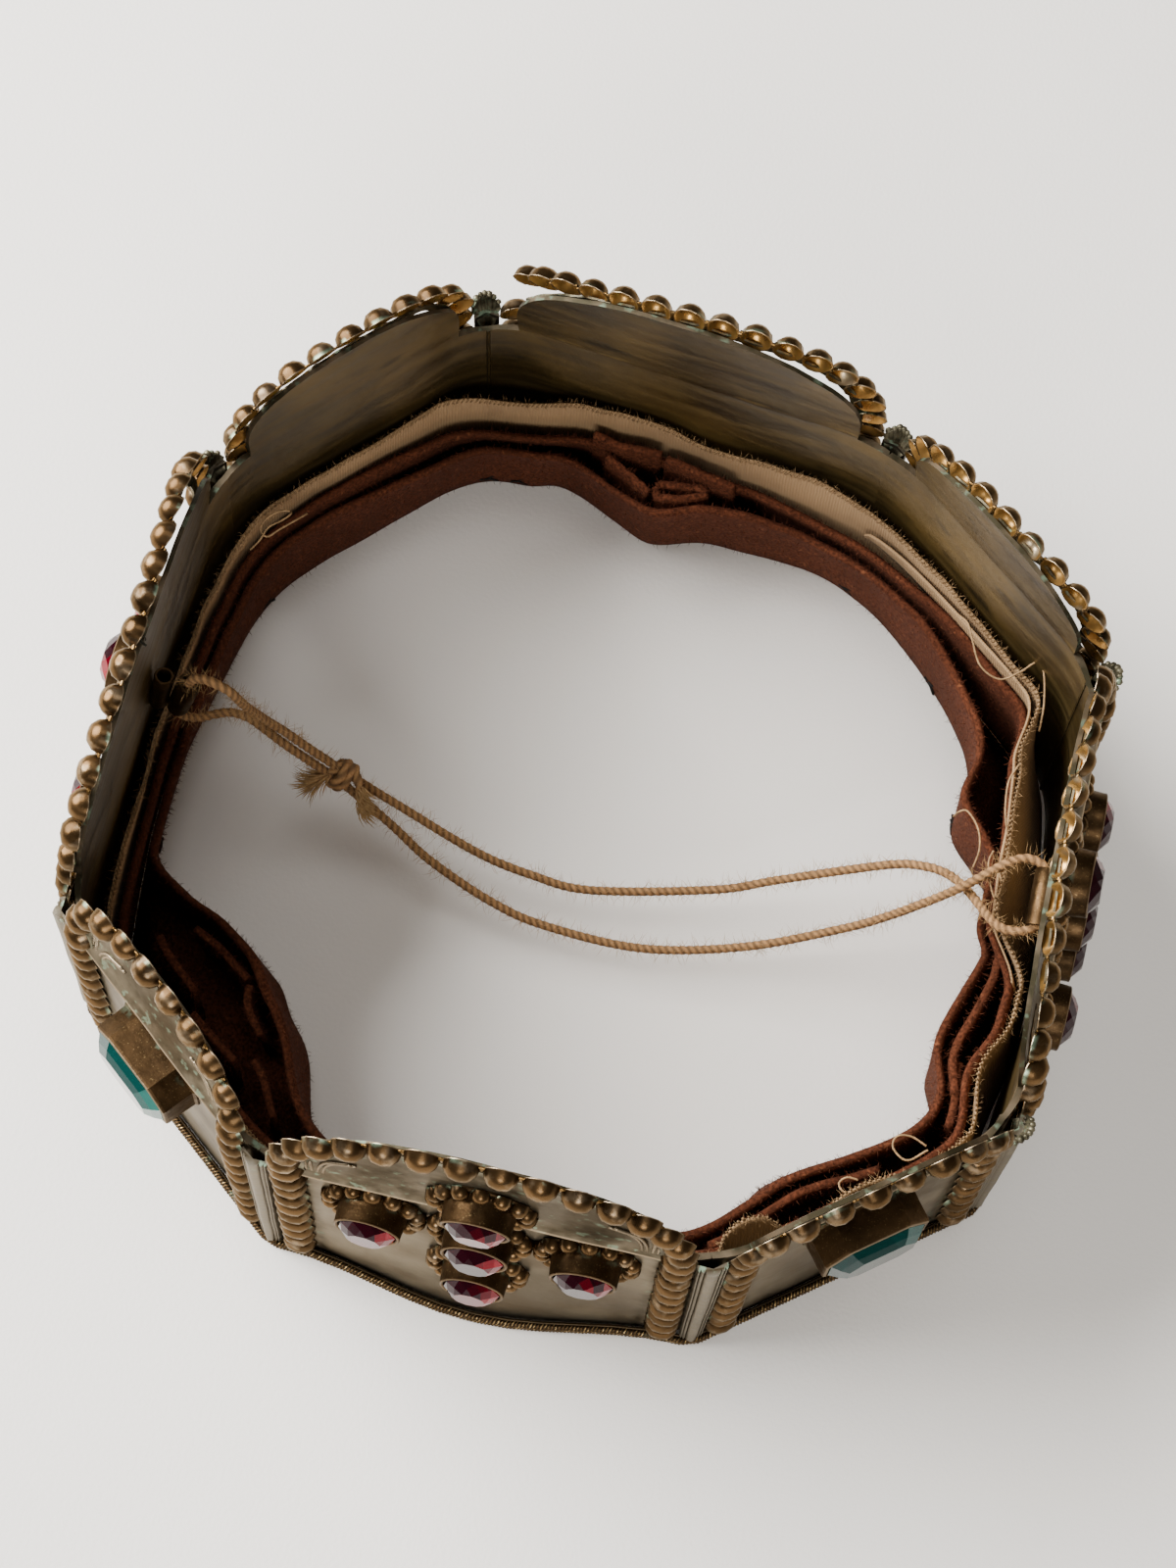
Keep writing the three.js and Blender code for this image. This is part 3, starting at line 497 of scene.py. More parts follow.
def loft(sections, ring=False):
    """Points, faces and unrolled coordinates of a skin over a row of sections."""
    size = len(sections[0])
    points = [p for section in sections for p in section]
    middles = [sum(section, Vector((0, 0, 0))) / size for section in sections]
    lengths = [0.0]
    for k in range(len(sections)):
        lengths.append(lengths[-1] + (middles[(k + 1) % len(sections)] - middles[k]).length * MM)
    rounds = [0.0]
    for j in range(size):
        rounds.append(rounds[-1] + (sections[0][(j + 1) % size] - sections[0][j]).length * MM)
    faces, uvs = [], []
    for k in range(len(sections) if ring else len(sections) - 1):
        after = (k + 1) % len(sections)
        for j in range(size):
            side = (j + 1) % size
            faces.append((k * size + j, k * size + side, after * size + side, after * size + j))
            uvs.append(((lengths[k], rounds[j]), (lengths[k], rounds[j + 1]),
                        (lengths[k + 1], rounds[j + 1]), (lengths[k + 1], rounds[j])))
    if not ring:
        for k, flip in ((0, -1), (len(sections) - 1, 1)):
            faces.append(tuple(k * size + j for j in range(size))[::flip])
            uvs.append(((lengths[k], 0.0),) * size)
    return points, faces, uvs


def lathe(profile, sides, place):
    """Points and faces of a profile of (radius, height) turned about an axis; radius 0 is a pole."""
    points, faces, rows = [], [], []
    for radius, z in profile:
        if radius == 0:
            rows.append([len(points)] * sides)
            points.append(place @ Vector((0, 0, z)))
            continue
        rows.append(list(range(len(points), len(points) + sides)))
        for k in range(sides):
            angle = 2 * math.pi * k / sides
            points.append(place @ Vector((radius * math.cos(angle), radius * math.sin(angle), z)))
    for low, high in zip(rows, rows[1:]):
        for k in range(sides):
            j = (k + 1) % sides
            faces.append(tuple(dict.fromkeys((low[k], low[j], high[j], high[k]))))
    return points, faces


def join_parts(parts):
    """One list of points and one of faces from several."""
    points, faces = [], []
    for more, skins in parts:
        start = len(points)
        points += more
        faces += [tuple(start + k for k in face) for face in skins]
    return points, faces


def finish_piece(thing, slot, *nodes):
    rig.ride(thing, "root")
    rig.slot(thing, slot)
    if nodes:
        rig.replaces(thing, *nodes)
    return thing


# Node trees
def new_tree(name, sockets):
    tree = bpy.data.node_groups.new(name, "GeometryNodeTree")
    tree.interface.new_socket(name="Geometry", in_out="INPUT", socket_type="NodeSocketGeometry")
    for label, kind, default in sockets:
        socket = tree.interface.new_socket(name=label, in_out="INPUT", socket_type="NodeSocket" + kind)
        if default is not None:
            socket.default_value = default
    tree.interface.new_socket(name="Geometry", in_out="OUTPUT", socket_type="NodeSocketGeometry")
    return tree, tree.nodes.new("NodeGroupInput"), tree.nodes.new("NodeGroupOutput")


def add_node(tree, kind, settings=None, **inputs):
    """A node with its settings; inputs are values or sockets, by the input's name."""
    node = tree.nodes.new(kind)
    for key, value in (settings or {}).items():
        setattr(node, key, value)
    for key, value in inputs.items():
        feed(tree, node.inputs[key.replace("_", " ")], value)
    return node


def feed(tree, socket, value):
    """Links a socket to another one, or sets its value."""
    if isinstance(value, bpy.types.NodeSocket):
        tree.links.new(value, socket)
    else:
        socket.default_value = value


def number(tree, operation, *values):
    """The result of a sum on numbers or sockets."""
    node = add_node(tree, "ShaderNodeMath", {"operation": operation})
    for socket, value in zip(node.inputs, values):
        feed(tree, socket, value)
    return node.outputs[0]


def close_tree(tree, given, done, geometry):
    """Every tree ends with plain geometry of one finish."""
    real = add_node(tree, "GeometryNodeRealizeInstances", Geometry=geometry)
    shown = add_node(tree, "GeometryNodeSetMaterial", Geometry=real.outputs[0],
                     Material=given.outputs["Material"])
    tree.links.new(shown.outputs[0], done.inputs[0])


def setting_tree():
    """Sets a copy of a small shape on every point, turned to the point's own axes."""
    tree, given, done = new_tree("Set on points", [
        ("Shape", "Object", None), ("Unevenness", "Float", 0.0), ("Seed", "Int", 0),
        ("Material", "Material", None)])
    points = add_node(tree, "GeometryNodeMeshToPoints", Mesh=given.outputs["Geometry"])
    shape = add_node(tree, "GeometryNodeObjectInfo", Object=given.outputs["Shape"])
    vector = {"data_type": "FLOAT_VECTOR"}
    out = add_node(tree, "GeometryNodeInputNamedAttribute", vector, Name="out")
    along = add_node(tree, "GeometryNodeInputNamedAttribute", vector, Name="along")
    size = add_node(tree, "GeometryNodeInputNamedAttribute", vector, Name="size")
    stand = add_node(tree, "FunctionNodeAlignRotationToVector", {"axis": "Z"}, Vector=out.outputs[0])
    turn = add_node(tree, "FunctionNodeAlignRotationToVector", {"axis": "X", "pivot_axis": "Z"},
                    Rotation=stand.outputs[0], Vector=along.outputs[0])
    chance = add_node(tree, "FunctionNodeRandomValue", {"data_type": "FLOAT"},
                      Seed=given.outputs["Seed"])
    chance.inputs[2].default_value, chance.inputs[3].default_value = -1.0, 1.0
    spread = number(tree, "MULTIPLY", given.outputs["Unevenness"], chance.outputs[1])
    scale = add_node(tree, "ShaderNodeVectorMath", {"operation": "SCALE"}, Vector=size.outputs[0],
                     Scale=number(tree, "ADD", 1.0, spread))
    copies = add_node(tree, "GeometryNodeInstanceOnPoints", Points=points.outputs[0],
                      Instance=shape.outputs["Geometry"], Rotation=turn.outputs[0],
                      Scale=scale.outputs[0])
    close_tree(tree, given, done, copies.outputs[0])
    return tree


def rope_tree():
    """Twists a lobed section along a curve."""
    tree, given, done = new_tree("Twisted rope", [
        ("Radius", "Float", 0.001), ("Lobes", "Float", 2.0), ("Depth", "Float", 0.2),
        ("Turns", "Float", 200.0), ("Step", "Float", 0.0006), ("Sides", "Int", 10),
        ("Material", "Material", None)])
    even = add_node(tree, "GeometryNodeResampleCurve", {"mode": "LENGTH"},
                    Curve=given.outputs["Geometry"], Length=given.outputs["Step"])
    way = add_node(tree, "GeometryNodeSplineParameter")
    turns = number(tree, "MULTIPLY", way.outputs["Length"], given.outputs["Turns"])
    twisted = add_node(tree, "GeometryNodeSetCurveTilt", Curve=even.outputs[0],
                       Tilt=number(tree, "MULTIPLY", turns, 2 * math.pi))
    run = add_node(tree, "GeometryNodeStoreNamedAttribute", {"data_type": "FLOAT", "domain": "POINT"},
                   Geometry=twisted.outputs[0], Name="run", Value=way.outputs["Length"])
    circle = add_node(tree, "GeometryNodeCurvePrimitiveCircle", {"mode": "RADIUS"},
                      Resolution=given.outputs["Sides"], Radius=given.outputs["Radius"])
    angle = number(tree, "MULTIPLY", way.outputs["Factor"], 2 * math.pi)
    wave = number(tree, "COSINE", number(tree, "MULTIPLY", angle, given.outputs["Lobes"]))
    where = add_node(tree, "GeometryNodeInputPosition")
    moved = add_node(tree, "ShaderNodeVectorMath", {"operation": "SCALE"}, Vector=where.outputs[0],
                     Scale=number(tree, "MULTIPLY_ADD", wave, given.outputs["Depth"], 1.0))
    # ridge: how near each point of the section is to a lobe's crest, which the finishes use to paint shade in the
    # grooves.
    ridge = add_node(tree, "GeometryNodeStoreNamedAttribute", {"data_type": "FLOAT", "domain": "POINT"},
                     Geometry=circle.outputs[0], Name="ridge", Value=wave)
    section = add_node(tree, "GeometryNodeSetPosition", Geometry=ridge.outputs[0],
                       Position=moved.outputs[0])
    skin = add_node(tree, "GeometryNodeCurveToMesh", Curve=run.outputs[0],
                    Profile_Curve=section.outputs[0], Fill_Caps=True)
    soft = add_node(tree, "GeometryNodeSetShadeSmooth", Geometry=skin.outputs[0])
    close_tree(tree, given, done, soft.outputs[0])
    return tree


def fuzz_tree():
    """Scatters short fibres over a cloth, thickest where its own fuzz number is high."""
    tree, given, done = new_tree("Fuzz", [
        ("Fibre", "Object", None), ("Density", "Float", 1000.0), ("Spread", "Float", 0.9),
        ("Seed", "Int", 0), ("Material", "Material", None)])
    here = add_node(tree, "GeometryNodeInputNamedAttribute", {"data_type": "FLOAT"}, Name="fuzz")
    thick = number(tree, "MULTIPLY", here.outputs[0], given.outputs["Density"])
    points = add_node(tree, "GeometryNodeDistributePointsOnFaces", {"distribute_method": "RANDOM"},
                      Mesh=given.outputs["Geometry"], Density=thick, Seed=given.outputs["Seed"])
    shape = add_node(tree, "GeometryNodeObjectInfo", Object=given.outputs["Fibre"])
    chance = add_node(tree, "FunctionNodeRandomValue", {"data_type": "FLOAT_VECTOR"},
                      Seed=given.outputs["Seed"])
    for socket, sign in zip(chance.inputs, (-1.0, 1.0)):
        reach = add_node(tree, "ShaderNodeVectorMath", {"operation": "SCALE"},
                         Vector=(sign, sign, 3 * sign), Scale=given.outputs["Spread"])
        tree.links.new(reach.outputs[0], socket)
    turn = add_node(tree, "FunctionNodeEulerToRotation", Euler=chance.outputs[0])
    lean = add_node(tree, "FunctionNodeRotateRotation", {"rotation_space": "LOCAL"},
                    Rotation=points.outputs["Rotation"], Rotate_By=turn.outputs[0])
    size = add_node(tree, "FunctionNodeRandomValue", {"data_type": "FLOAT"}, Seed=given.outputs["Seed"])
    size.inputs[2].default_value, size.inputs[3].default_value = 0.5, 1.3
    copies = add_node(tree, "GeometryNodeInstanceOnPoints", Points=points.outputs[0],
                      Instance=shape.outputs["Geometry"], Rotation=lean.outputs[0],
                      Scale=size.outputs[1])
    close_tree(tree, given, done, copies.outputs[0])
    return tree


TREES = {}


def run_tree(source, make, name, **values):
    """Runs a tree on an object and gives back the result as a plain mesh object."""
    if make not in TREES:
        TREES[make] = make()
    tree = TREES[make]
    sockets = {item.name: item.identifier for item in tree.interface.items_tree if item.in_out == "INPUT"}
    step = source.modifiers.new(tree.name, "NODES")
    step.node_group = tree
    for label, value in values.items():
        step[sockets[label.replace("_", " ")]] = value
    bpy.context.view_layer.update()
    seen = source.evaluated_get(bpy.context.evaluated_depsgraph_get())
    mesh = bpy.data.meshes.new_from_object(seen)
    source.modifiers.remove(step)
    if not mesh.polygons:
        raise RuntimeError(f"{name}: the tree made no faces")
    mesh.polygons.foreach_set("use_smooth", [True] * len(mesh.polygons))
    mesh.name = name
    return make_object(name, mesh)


def drop(*things):
    for thing in things:
        data = thing.data
        bpy.data.objects.remove(thing)
        if isinstance(data, bpy.types.Mesh):
            bpy.data.meshes.remove(data)
        else:
            bpy.data.curves.remove(data)


Seat = namedtuple("Seat", "at out along size")


def set_on(seats, shape, name, finish, unevenness=0.0, seed=0):
    """Copies of a shape at the seats, whose places are millimetres."""
    mesh = bpy.data.meshes.new(name + "_seats")
    mesh.from_pydata([metres(seat.at) for seat in seats], [], [])
    for key in ("out", "along", "size"):
        layer = mesh.attributes.new(key, "FLOAT_VECTOR", "POINT")
        layer.data.foreach_set("vector", [c for seat in seats for c in getattr(seat, key)])
    source = make_object(name + "_seats", mesh)
    made = run_tree(source, setting_tree, name, Shape=shape, Unevenness=unevenness, Seed=seed,
                    Material=finish)
    drop(source)
    return made


def rope_along(route, name, finish, closed=False, **values):
    """A twisted rope along points in millimetres."""
    data = bpy.data.curves.new(name + "_route", "CURVE")
    data.dimensions = "3D"
    spline = data.splines.new("POLY")
    spline.points.add(len(route) - 1)
    for point, at in zip(spline.points, route):
        point.co = (*metres(at), 1.0)
    spline.use_cyclic_u = closed
    source = make_object(name + "_route", data)
    made = run_tree(source, rope_tree, name, Material=finish, **values)
    drop(source)
    return made


def smooth_route(route, steps=8):
    """Points of a smooth curve through a route."""
    points = [Vector(p) for p in route]
    ends = [points[0] * 2 - points[1], *points, points[-1] * 2 - points[-2]]
    found = []
    for a, b, c, d in zip(ends, ends[1:], ends[2:], ends[3:]):
        for k in range(steps):
            t = k / steps
            found.append(0.5 * (2 * b + (c - a) * t + (2 * a - 5 * b + 4 * c - d) * t * t
                                + (3 * b - a - 3 * c + d) * t ** 3))
    return found + [points[-1]]


# Finishes
class Finish:
    """A node material under construction. Scales are for coordinates in metres."""

    def __init__(self, name, **constants):
        self.material = bpy.data.materials.new(name)
        self.material.use_nodes = True
        self.tree = self.material.node_tree
        self.shader = self.tree.nodes["Principled BSDF"]
        self.where = self.tree.nodes.new("ShaderNodeTexCoord")
        for key, value in constants.items():
            self.shader.inputs[key.replace("_", " ")].default_value = value

    def noise(self, scale, detail=3.0, stretch=None, lay=False, rough=0.5):
        source = self.where.outputs["UV" if lay else "Object"]
        if stretch:
            source = add_node(self.tree, "ShaderNodeMapping", Vector=source, Scale=stretch).outputs[0]
        node = add_node(self.tree, "ShaderNodeTexNoise", Vector=source, Scale=scale, Detail=detail,
                        Roughness=rough)
        return node.outputs[0]

    def waves(self, scale, axis):
        node = add_node(self.tree, "ShaderNodeTexWave", {"bands_direction": axis},
                        Vector=self.where.outputs["UV"], Scale=scale, Distortion=1.2, Detail=1.0)
        return node.outputs["Fac"]

    def span(self, value, low, high, start=0.0, end=1.0):
        """A value's share of the way from low to high, as a number from start to end."""
        node = add_node(self.tree, "ShaderNodeMapRange", Value=value)
        for key, number in (("From Min", low), ("From Max", high), ("To Min", start), ("To Max", end)):
            node.inputs[key].default_value = number
        return node.outputs[0]

    def value(self, name):
        return add_node(self.tree, "ShaderNodeAttribute", {"attribute_name": name}).outputs["Fac"]

    def maths(self, operation, *values):
        return number(self.tree, operation, *values)

    def blend(self, share, a, b):
        """A colour between two, each a colour or a socket."""
        node = add_node(self.tree, "ShaderNodeMix", {"data_type": "RGBA"})
        self.tree.links.new(share, node.inputs[0])
        for socket, value in ((node.inputs[6], a), (node.inputs[7], b)):
            feed(self.tree, socket, value if isinstance(value, bpy.types.NodeSocket) else (*value, 1.0))
        return node.outputs[2]

    def done(self, colour, rough=None, height=None, depth=0.0002):
        """The material, with its colour, roughness and bump linked; depth is the bump's, in metres."""
        self.tree.links.new(colour, self.shader.inputs["Base Color"])
        if rough is not None:
            self.tree.links.new(rough, self.shader.inputs["Roughness"])
        if height is not None:
            bump = add_node(self.tree, "ShaderNodeBump", Height=height, Distance=depth, Strength=0.7)
            self.tree.links.new(bump.outputs[0], self.shader.inputs["Normal"])
        return self.material


def darker(colour, share):
    return tuple(c * share for c in colour)


# Tints of old metal's shine at a glancing angle, on its faces and on its cut edge
DULL = (0.58, 0.54, 0.49, 1.0)
DARK_EDGE = (0.35, 0.32, 0.29, 1.0)


def plate_outside(colours):
    f = Finish("plate_outside", Metallic=0.9, Specular_Tint=DULL)
    tone = f.blend(f.span(f.noise(34, 5), 0.4, 0.62), colours.plate, darker(colours.plate, 0.5))
    warm = f.blend(f.span(f.noise(60, 6), 0.46, 0.64, 0, 0.45), tone, darker(colours.bead, 0.54))
    ring = f.maths("ABSOLUTE", f.maths("SUBTRACT", f.noise(23, 2), 0.53))
    marked = f.blend(f.span(ring, 0.02, 0.0, 0, 0.2), warm, darker(colours.bead, 0.29))
    # Darker where the plate's dark mask is high: dirt, and painted shadow under the crease's lip.
    dirt_and_shade = f.maths("MULTIPLY", f.value("grime"), f.span(f.noise(240, 4), 0.3, 0.7, 0.35, 1.1))
    dirty_and_shaded = f.blend(f.span(dirt_and_shade, 0.15, 0.8), marked, srgb(48, 42, 30))
    green = f.maths("MULTIPLY", f.value("grime"), f.span(f.noise(420, 4), 0.56, 0.66))
    crusted = f.blend(f.span(green, 0.25, 0.9, 0, 0.7), dirty_and_shaded, colours.verdigris)
    # Paler where the pale mask is high: wear, and a painted highlight along the lip's top edge.
    colour = f.blend(f.span(f.value("worn"), 0.5, 1.0, 0, 0.8), crusted, colours.worn)
    rough = f.span(f.noise(90, 5, stretch=(1, 1, 0.4)), 0.3, 0.7, 0.3, 0.48)
    return f.done(colour, rough, height=f.noise(520, 4), depth=0.00008)


def plate_inside(colours):
    f = Finish("plate_inside", Metallic=0.7)
    streak = f.noise(1, 5, stretch=(30, 260, 1), lay=True, rough=0.6)
    tone = f.blend(f.span(streak, 0.4, 0.62), darker(colours.inside, 0.48), colours.inside)
    cloud = f.blend(f.span(f.noise(30, 4), 0.45, 0.72, 0, 0.7), tone, srgb(134, 108, 58))
    soot = f.blend(f.span(f.noise(60, 6, stretch=(1, 1, 2.2)), 0.58, 0.74, 0, 0.8), cloud, srgb(44, 39, 28))
    ridge = f.blend(f.span(f.value("worn"), 0.4, 1.0, 0, 0.7), soot, srgb(196, 164, 96))
    edge = f.maths("MULTIPLY", f.value("grime"), f.span(f.noise(300, 4), 0.5, 0.66))
    colour = f.blend(f.span(edge, 0.35, 1.0, 0, 0.6), ridge, darker(colours.verdigris, 0.5))
    rough = f.span(streak, 0.3, 0.7, 0.28, 0.46)
    return f.done(colour, rough, height=f.noise(70, 3), depth=0.0006)


def plate_edge(colours):
    f = Finish("plate_edge", Metallic=0.6, Roughness=0.55, Specular_Tint=DARK_EDGE)
    tone = f.blend(f.span(f.noise(120, 4), 0.42, 0.66), srgb(50, 46, 32), darker(colours.worn, 0.3))
    return f.done(f.blend(f.span(f.noise(260, 4), 0.58, 0.66, 0, 0.7), tone, darker(colours.verdigris, 0.6)))


def bead_bronze(colours):
    f = Finish("bead_bronze", Metallic=0.9, Specular_Tint=(0.78, 0.69, 0.57, 1.0))
    tone = f.blend(f.span(f.noise(110, 4), 0.35, 0.68), darker(colours.bead, 0.42), colours.bead)
    bright = f.blend(f.span(f.noise(260, 3), 0.55, 0.74, 0, 0.45), tone, colours.worn)
    low = f.value("low")
    # Darker towards the dome's foot and on the tabs: painted shade where the dome meets the plate, and dirt.
    dirty_and_shaded = f.blend(f.span(low, 0.3, 0.8, 0, 0.6), bright, darker(colours.bead, 0.11))
    crust = f.maths("MULTIPLY", f.span(low, 0.7, 1.0), f.span(f.noise(170, 4), 0.56, 0.64))
    crusted = f.blend(crust, dirty_and_shaded, colours.verdigris)
    # A thin pale band at each dome's rim: painted reflection of the bright floor, in the worn metal colour.
    outer = f.blend(f.span(low, 0.93, 0.99, 0, 0.9), crusted, colours.worn)
    gilt = f.blend(f.span(f.noise(190, 4), 0.42, 0.7, 0, 0.6), colours.gilt, darker(colours.gilt, 0.35))
    pale = f.blend(f.span(f.noise(85, 2), 0.62, 0.68, 0, 0.6), gilt, srgb(214, 206, 180))
    colour = f.blend(f.value("inside"), outer, pale)
    rough = f.span(f.noise(330, 3), 0.3, 0.7, 0.23, 0.39)
    return f.done(colour, rough, height=f.noise(700, 3), depth=0.00006)


def collet_bronze(colours):
    f = Finish("collet_bronze", Metallic=0.86, Specular_Tint=DULL)
    tone = f.blend(f.span(f.noise(140, 5), 0.36, 0.66), darker(colours.bead, 0.27),
                   darker(colours.bead, 0.58))
    speck = f.blend(f.span(f.noise(2400, 2), 0.62, 0.74, 0, 0.24), tone, srgb(170, 144, 98))
    bare = f.blend(f.span(f.value("rim"), 0.7, 1.0, 0, 0.35), speck, colours.worn)
    low = f.maths("MULTIPLY", f.value("low"), f.span(f.noise(260, 4), 0.44, 0.64))
    colour = f.blend(f.span(low, 0.4, 0.9, 0, 0.7), bare, darker(colours.verdigris, 0.6))
    rough = f.span(f.noise(420, 3), 0.3, 0.7, 0.28, 0.5)
    return f.done(colour, rough, height=f.noise(800, 4), depth=0.0001)


def post_silver(colours):
    f = Finish("post_silver", Metallic=0.85, Specular_Tint=DULL)
    streak = f.noise(1, 4, stretch=(420, 60, 1), lay=True)
    tone = f.blend(f.span(streak, 0.35, 0.7), darker(colours.silver, 0.55), colours.silver)
    # Darker in the grooves: painted shade in the channels, and grime.
    dark = f.blend(f.value("groove"), tone, srgb(60, 50, 34))
    green = f.maths("MULTIPLY", f.value("head"), f.span(f.noise(380, 4), 0.5, 0.62))
    colour = f.blend(f.span(green, 0.3, 1.0, 0, 0.8), dark, colours.verdigris)
    return f.done(colour, f.span(streak, 0.3, 0.7, 0.3, 0.5), height=f.noise(500, 3), depth=0.00012)


def rope_brass(colours):
    f = Finish("rope_brass", Metallic=0.85, Specular_Tint=DULL)
    # Dark in the grooves between the lobes and lighter on their crests: painted shade; glint adds painted highlights
    # on the crests.
    tone = f.blend(f.span(f.value("ridge"), -0.7, 0.8), srgb(44, 36, 24), darker(colours.bead, 0.66))
    bright = f.maths("MULTIPLY", f.span(f.value("ridge"), 0.3, 1.0), f.span(f.noise(900, 2), 0.5, 0.64))
    glint = f.blend(bright, tone, srgb(220, 186, 128))
    colour = f.blend(f.span(f.noise(160, 4), 0.62, 0.72, 0, 0.5), glint, darker(colours.verdigris, 0.45))
    return f.done(colour, f.span(f.noise(400, 2), 0.3, 0.7, 0.3, 0.5))


def leaf_bronze(colours):
    f = Finish("leaf_bronze", Metallic=0.75, Specular_Tint=DULL)
    tone = f.blend(f.span(f.noise(300, 4), 0.4, 0.65), srgb(58, 54, 40), srgb(126, 119, 97))
    bare = f.blend(f.span(f.noise(210, 3), 0.62, 0.72, 0, 0.6), tone, colours.silver)
    colour = f.blend(f.span(f.noise(480, 4), 0.58, 0.66, 0, 0.7), bare, darker(colours.verdigris, 0.8))
    return f.done(colour, f.span(f.noise(500, 3), 0.3, 0.7, 0.3, 0.65), height=f.noise(900, 4), depth=0.0002)


def cut_glass(name, colour, deep):
    f = Finish(name, Roughness=0.03, IOR=1.45, Transmission_Weight=0.35, Specular_IOR_Level=0.3,
               Specular_Tint=(0.4, 0.34, 0.37, 1.0))
    # From deep to bright by the facet value: painted light through the stone.
    tint = f.blend(f.span(f.value("facet"), 0.4, 0.95), deep, colour)
    return f.done(f.blend(f.span(f.noise(160, 2), 0.45, 0.7, 0, 0.4), tint, deep))


def foil(name, colour):
    f = Finish(name, Metallic=1.0, Roughness=0.16)
    return f.done(f.blend(f.span(f.noise(380, 2), 0.35, 0.65), darker(colour, 0.4), colour),
                  height=f.noise(260, 2), depth=0.0006)


def linen_cloth(colours):
    f = Finish("linen_cloth", Roughness=0.95)
    weave = f.maths("ADD", f.waves(420, "X"), f.waves(420, "Y"))
    tone = f.blend(f.span(f.noise(26, 4), 0.36, 0.66), darker(colours.linen, 0.72), colours.linen)
    yarn = f.blend(f.span(weave, 0.3, 1.7, 0.3, 0.0), tone, darker(colours.linen, 0.5))
    colour = f.blend(f.span(f.noise(90, 5), 0.6, 0.74, 0, 0.45), yarn, darker(colours.linen, 0.45))
    return f.done(colour, height=weave, depth=0.00012)


def felt_cloth(colours):
    f = Finish("felt_cloth", Roughness=1.0, Specular_IOR_Level=0.1)
    tone = f.blend(f.span(f.noise(40, 5), 0.35, 0.68), darker(colours.felt, 0.6), colours.felt)
    fibre = f.blend(f.span(f.noise(1300, 4), 0.38, 0.64), darker(colours.felt, 0.35), tone)
    lint = f.span(f.noise(620, 3, stretch=(1, 1, 0.5)), 0.64, 0.74, 0, 0.5)
    colour = f.blend(lint, fibre, srgb(134, 82, 54))
    return f.done(colour, height=f.noise(1300, 5), depth=0.0004)


def jute_twine(colours):
    f = Finish("jute_twine", Roughness=0.9)
    # Dark in the twist's grooves and lighter on the strands' crests: painted shade.
    tone = f.blend(f.span(f.value("ridge"), -0.8, 0.7), darker(colours.jute, 0.36), colours.jute)
    fibre = f.noise(1, 4, stretch=(2400, 2400, 700))
    colour = f.blend(f.span(fibre, 0.4, 0.7, 0, 0.6), tone, darker(colours.jute, 0.55))
    return f.done(colour, height=fibre, depth=0.0002)


def plain_thread(name, colour, rough=0.9):
    f = Finish(name, Roughness=rough, Specular_IOR_Level=0.2)
    return f.done(f.blend(f.span(f.noise(900, 2), 0.35, 0.7), darker(colour, 0.6), colour))


# Plates
ACROSS = 30
LOWER_ROWS = [0, 0.03, 0.08, 0.16, 0.26, 0.37, 0.48, 0.59, 0.7, 0.8, 0.88, 0.94, 0.975, 0.993]
UPPER_ROWS = [0.0, 0.04, 0.1, 0.2, 0.35, 0.5, 0.65, 0.8, 0.92, 1.0]
FLANK = [0.0, 0.2, 0.4, 0.6, 0.8]
LIP = 1.3
RIPPLE_FADE = 16.0
FOLD_REACH = 13.0
FOLD_FADE = 8.0
FOLD_OVERLAP = 0.12
RIDGED_LEAN = 12.0
LIP_FADE = 2.4

# The plates' unevenness: their ragged top edge, and broad and fine ripples
RAGGED, BROAD_RIPPLE, FINE_RIPPLE = 0.7, 0.35, 0.12

# How far the plate darkens from the foot, the crest, the crease and the border's edge, half a border's width,
# and how dark the whole lunette is; the band just under the crease is painted shadow of the lip above it
FOOT_GRIME, CREST_GRIME, CREASE_SHADOW, BORDER_GRIME = 2.2, 1.6, 1.1, 1.4
BORDER_HALF, LUNETTE_GRIME = 3.2, 0.68


def plate_rows(plate):
    """Rows of (u, v) up a plate: the wall first, then the lunette."""
    edge = plate.half - EDGE_INSET
    spread = [edge * math.sin(math.pi / 2 * (2 * k / ACROSS - 1)) for k in range(ACROSS + 1)]
    ends = [plate.side_at(0, plate.crease) + PLATE_END, plate.side_at(1, plate.crease) - PLATE_END]
    left = [ends[0] + (-edge - ends[0]) * share for share in FLANK]
    right = [ends[1] + (edge - ends[1]) * share for share in reversed(FLANK)]
    wall = []
    for share in LOWER_ROWS:
        v = plate.crease * share
        low, high = plate.side_at(0, v) + PLATE_END, plate.side_at(1, v) - PLATE_END
        scale = (high - low) / (ends[1] - ends[0])
        wall.append([(low + (u - ends[0]) * scale, v) for u in left + spread + right])
    lunette = []
    for share in UPPER_ROWS:
        row = []
        for u in spread:
            ragged = RAGGED * noise.noise((u * 0.21, plate.index * 9.1, 0)) if share == 1 else 0
            top = plate.arch_top(u, EDGE_INSET) - plate.crease - abs(ragged)
            row.append((u, plate.crease + 0.02 + share * top))
        lunette.append(row)
    return wall, lunette


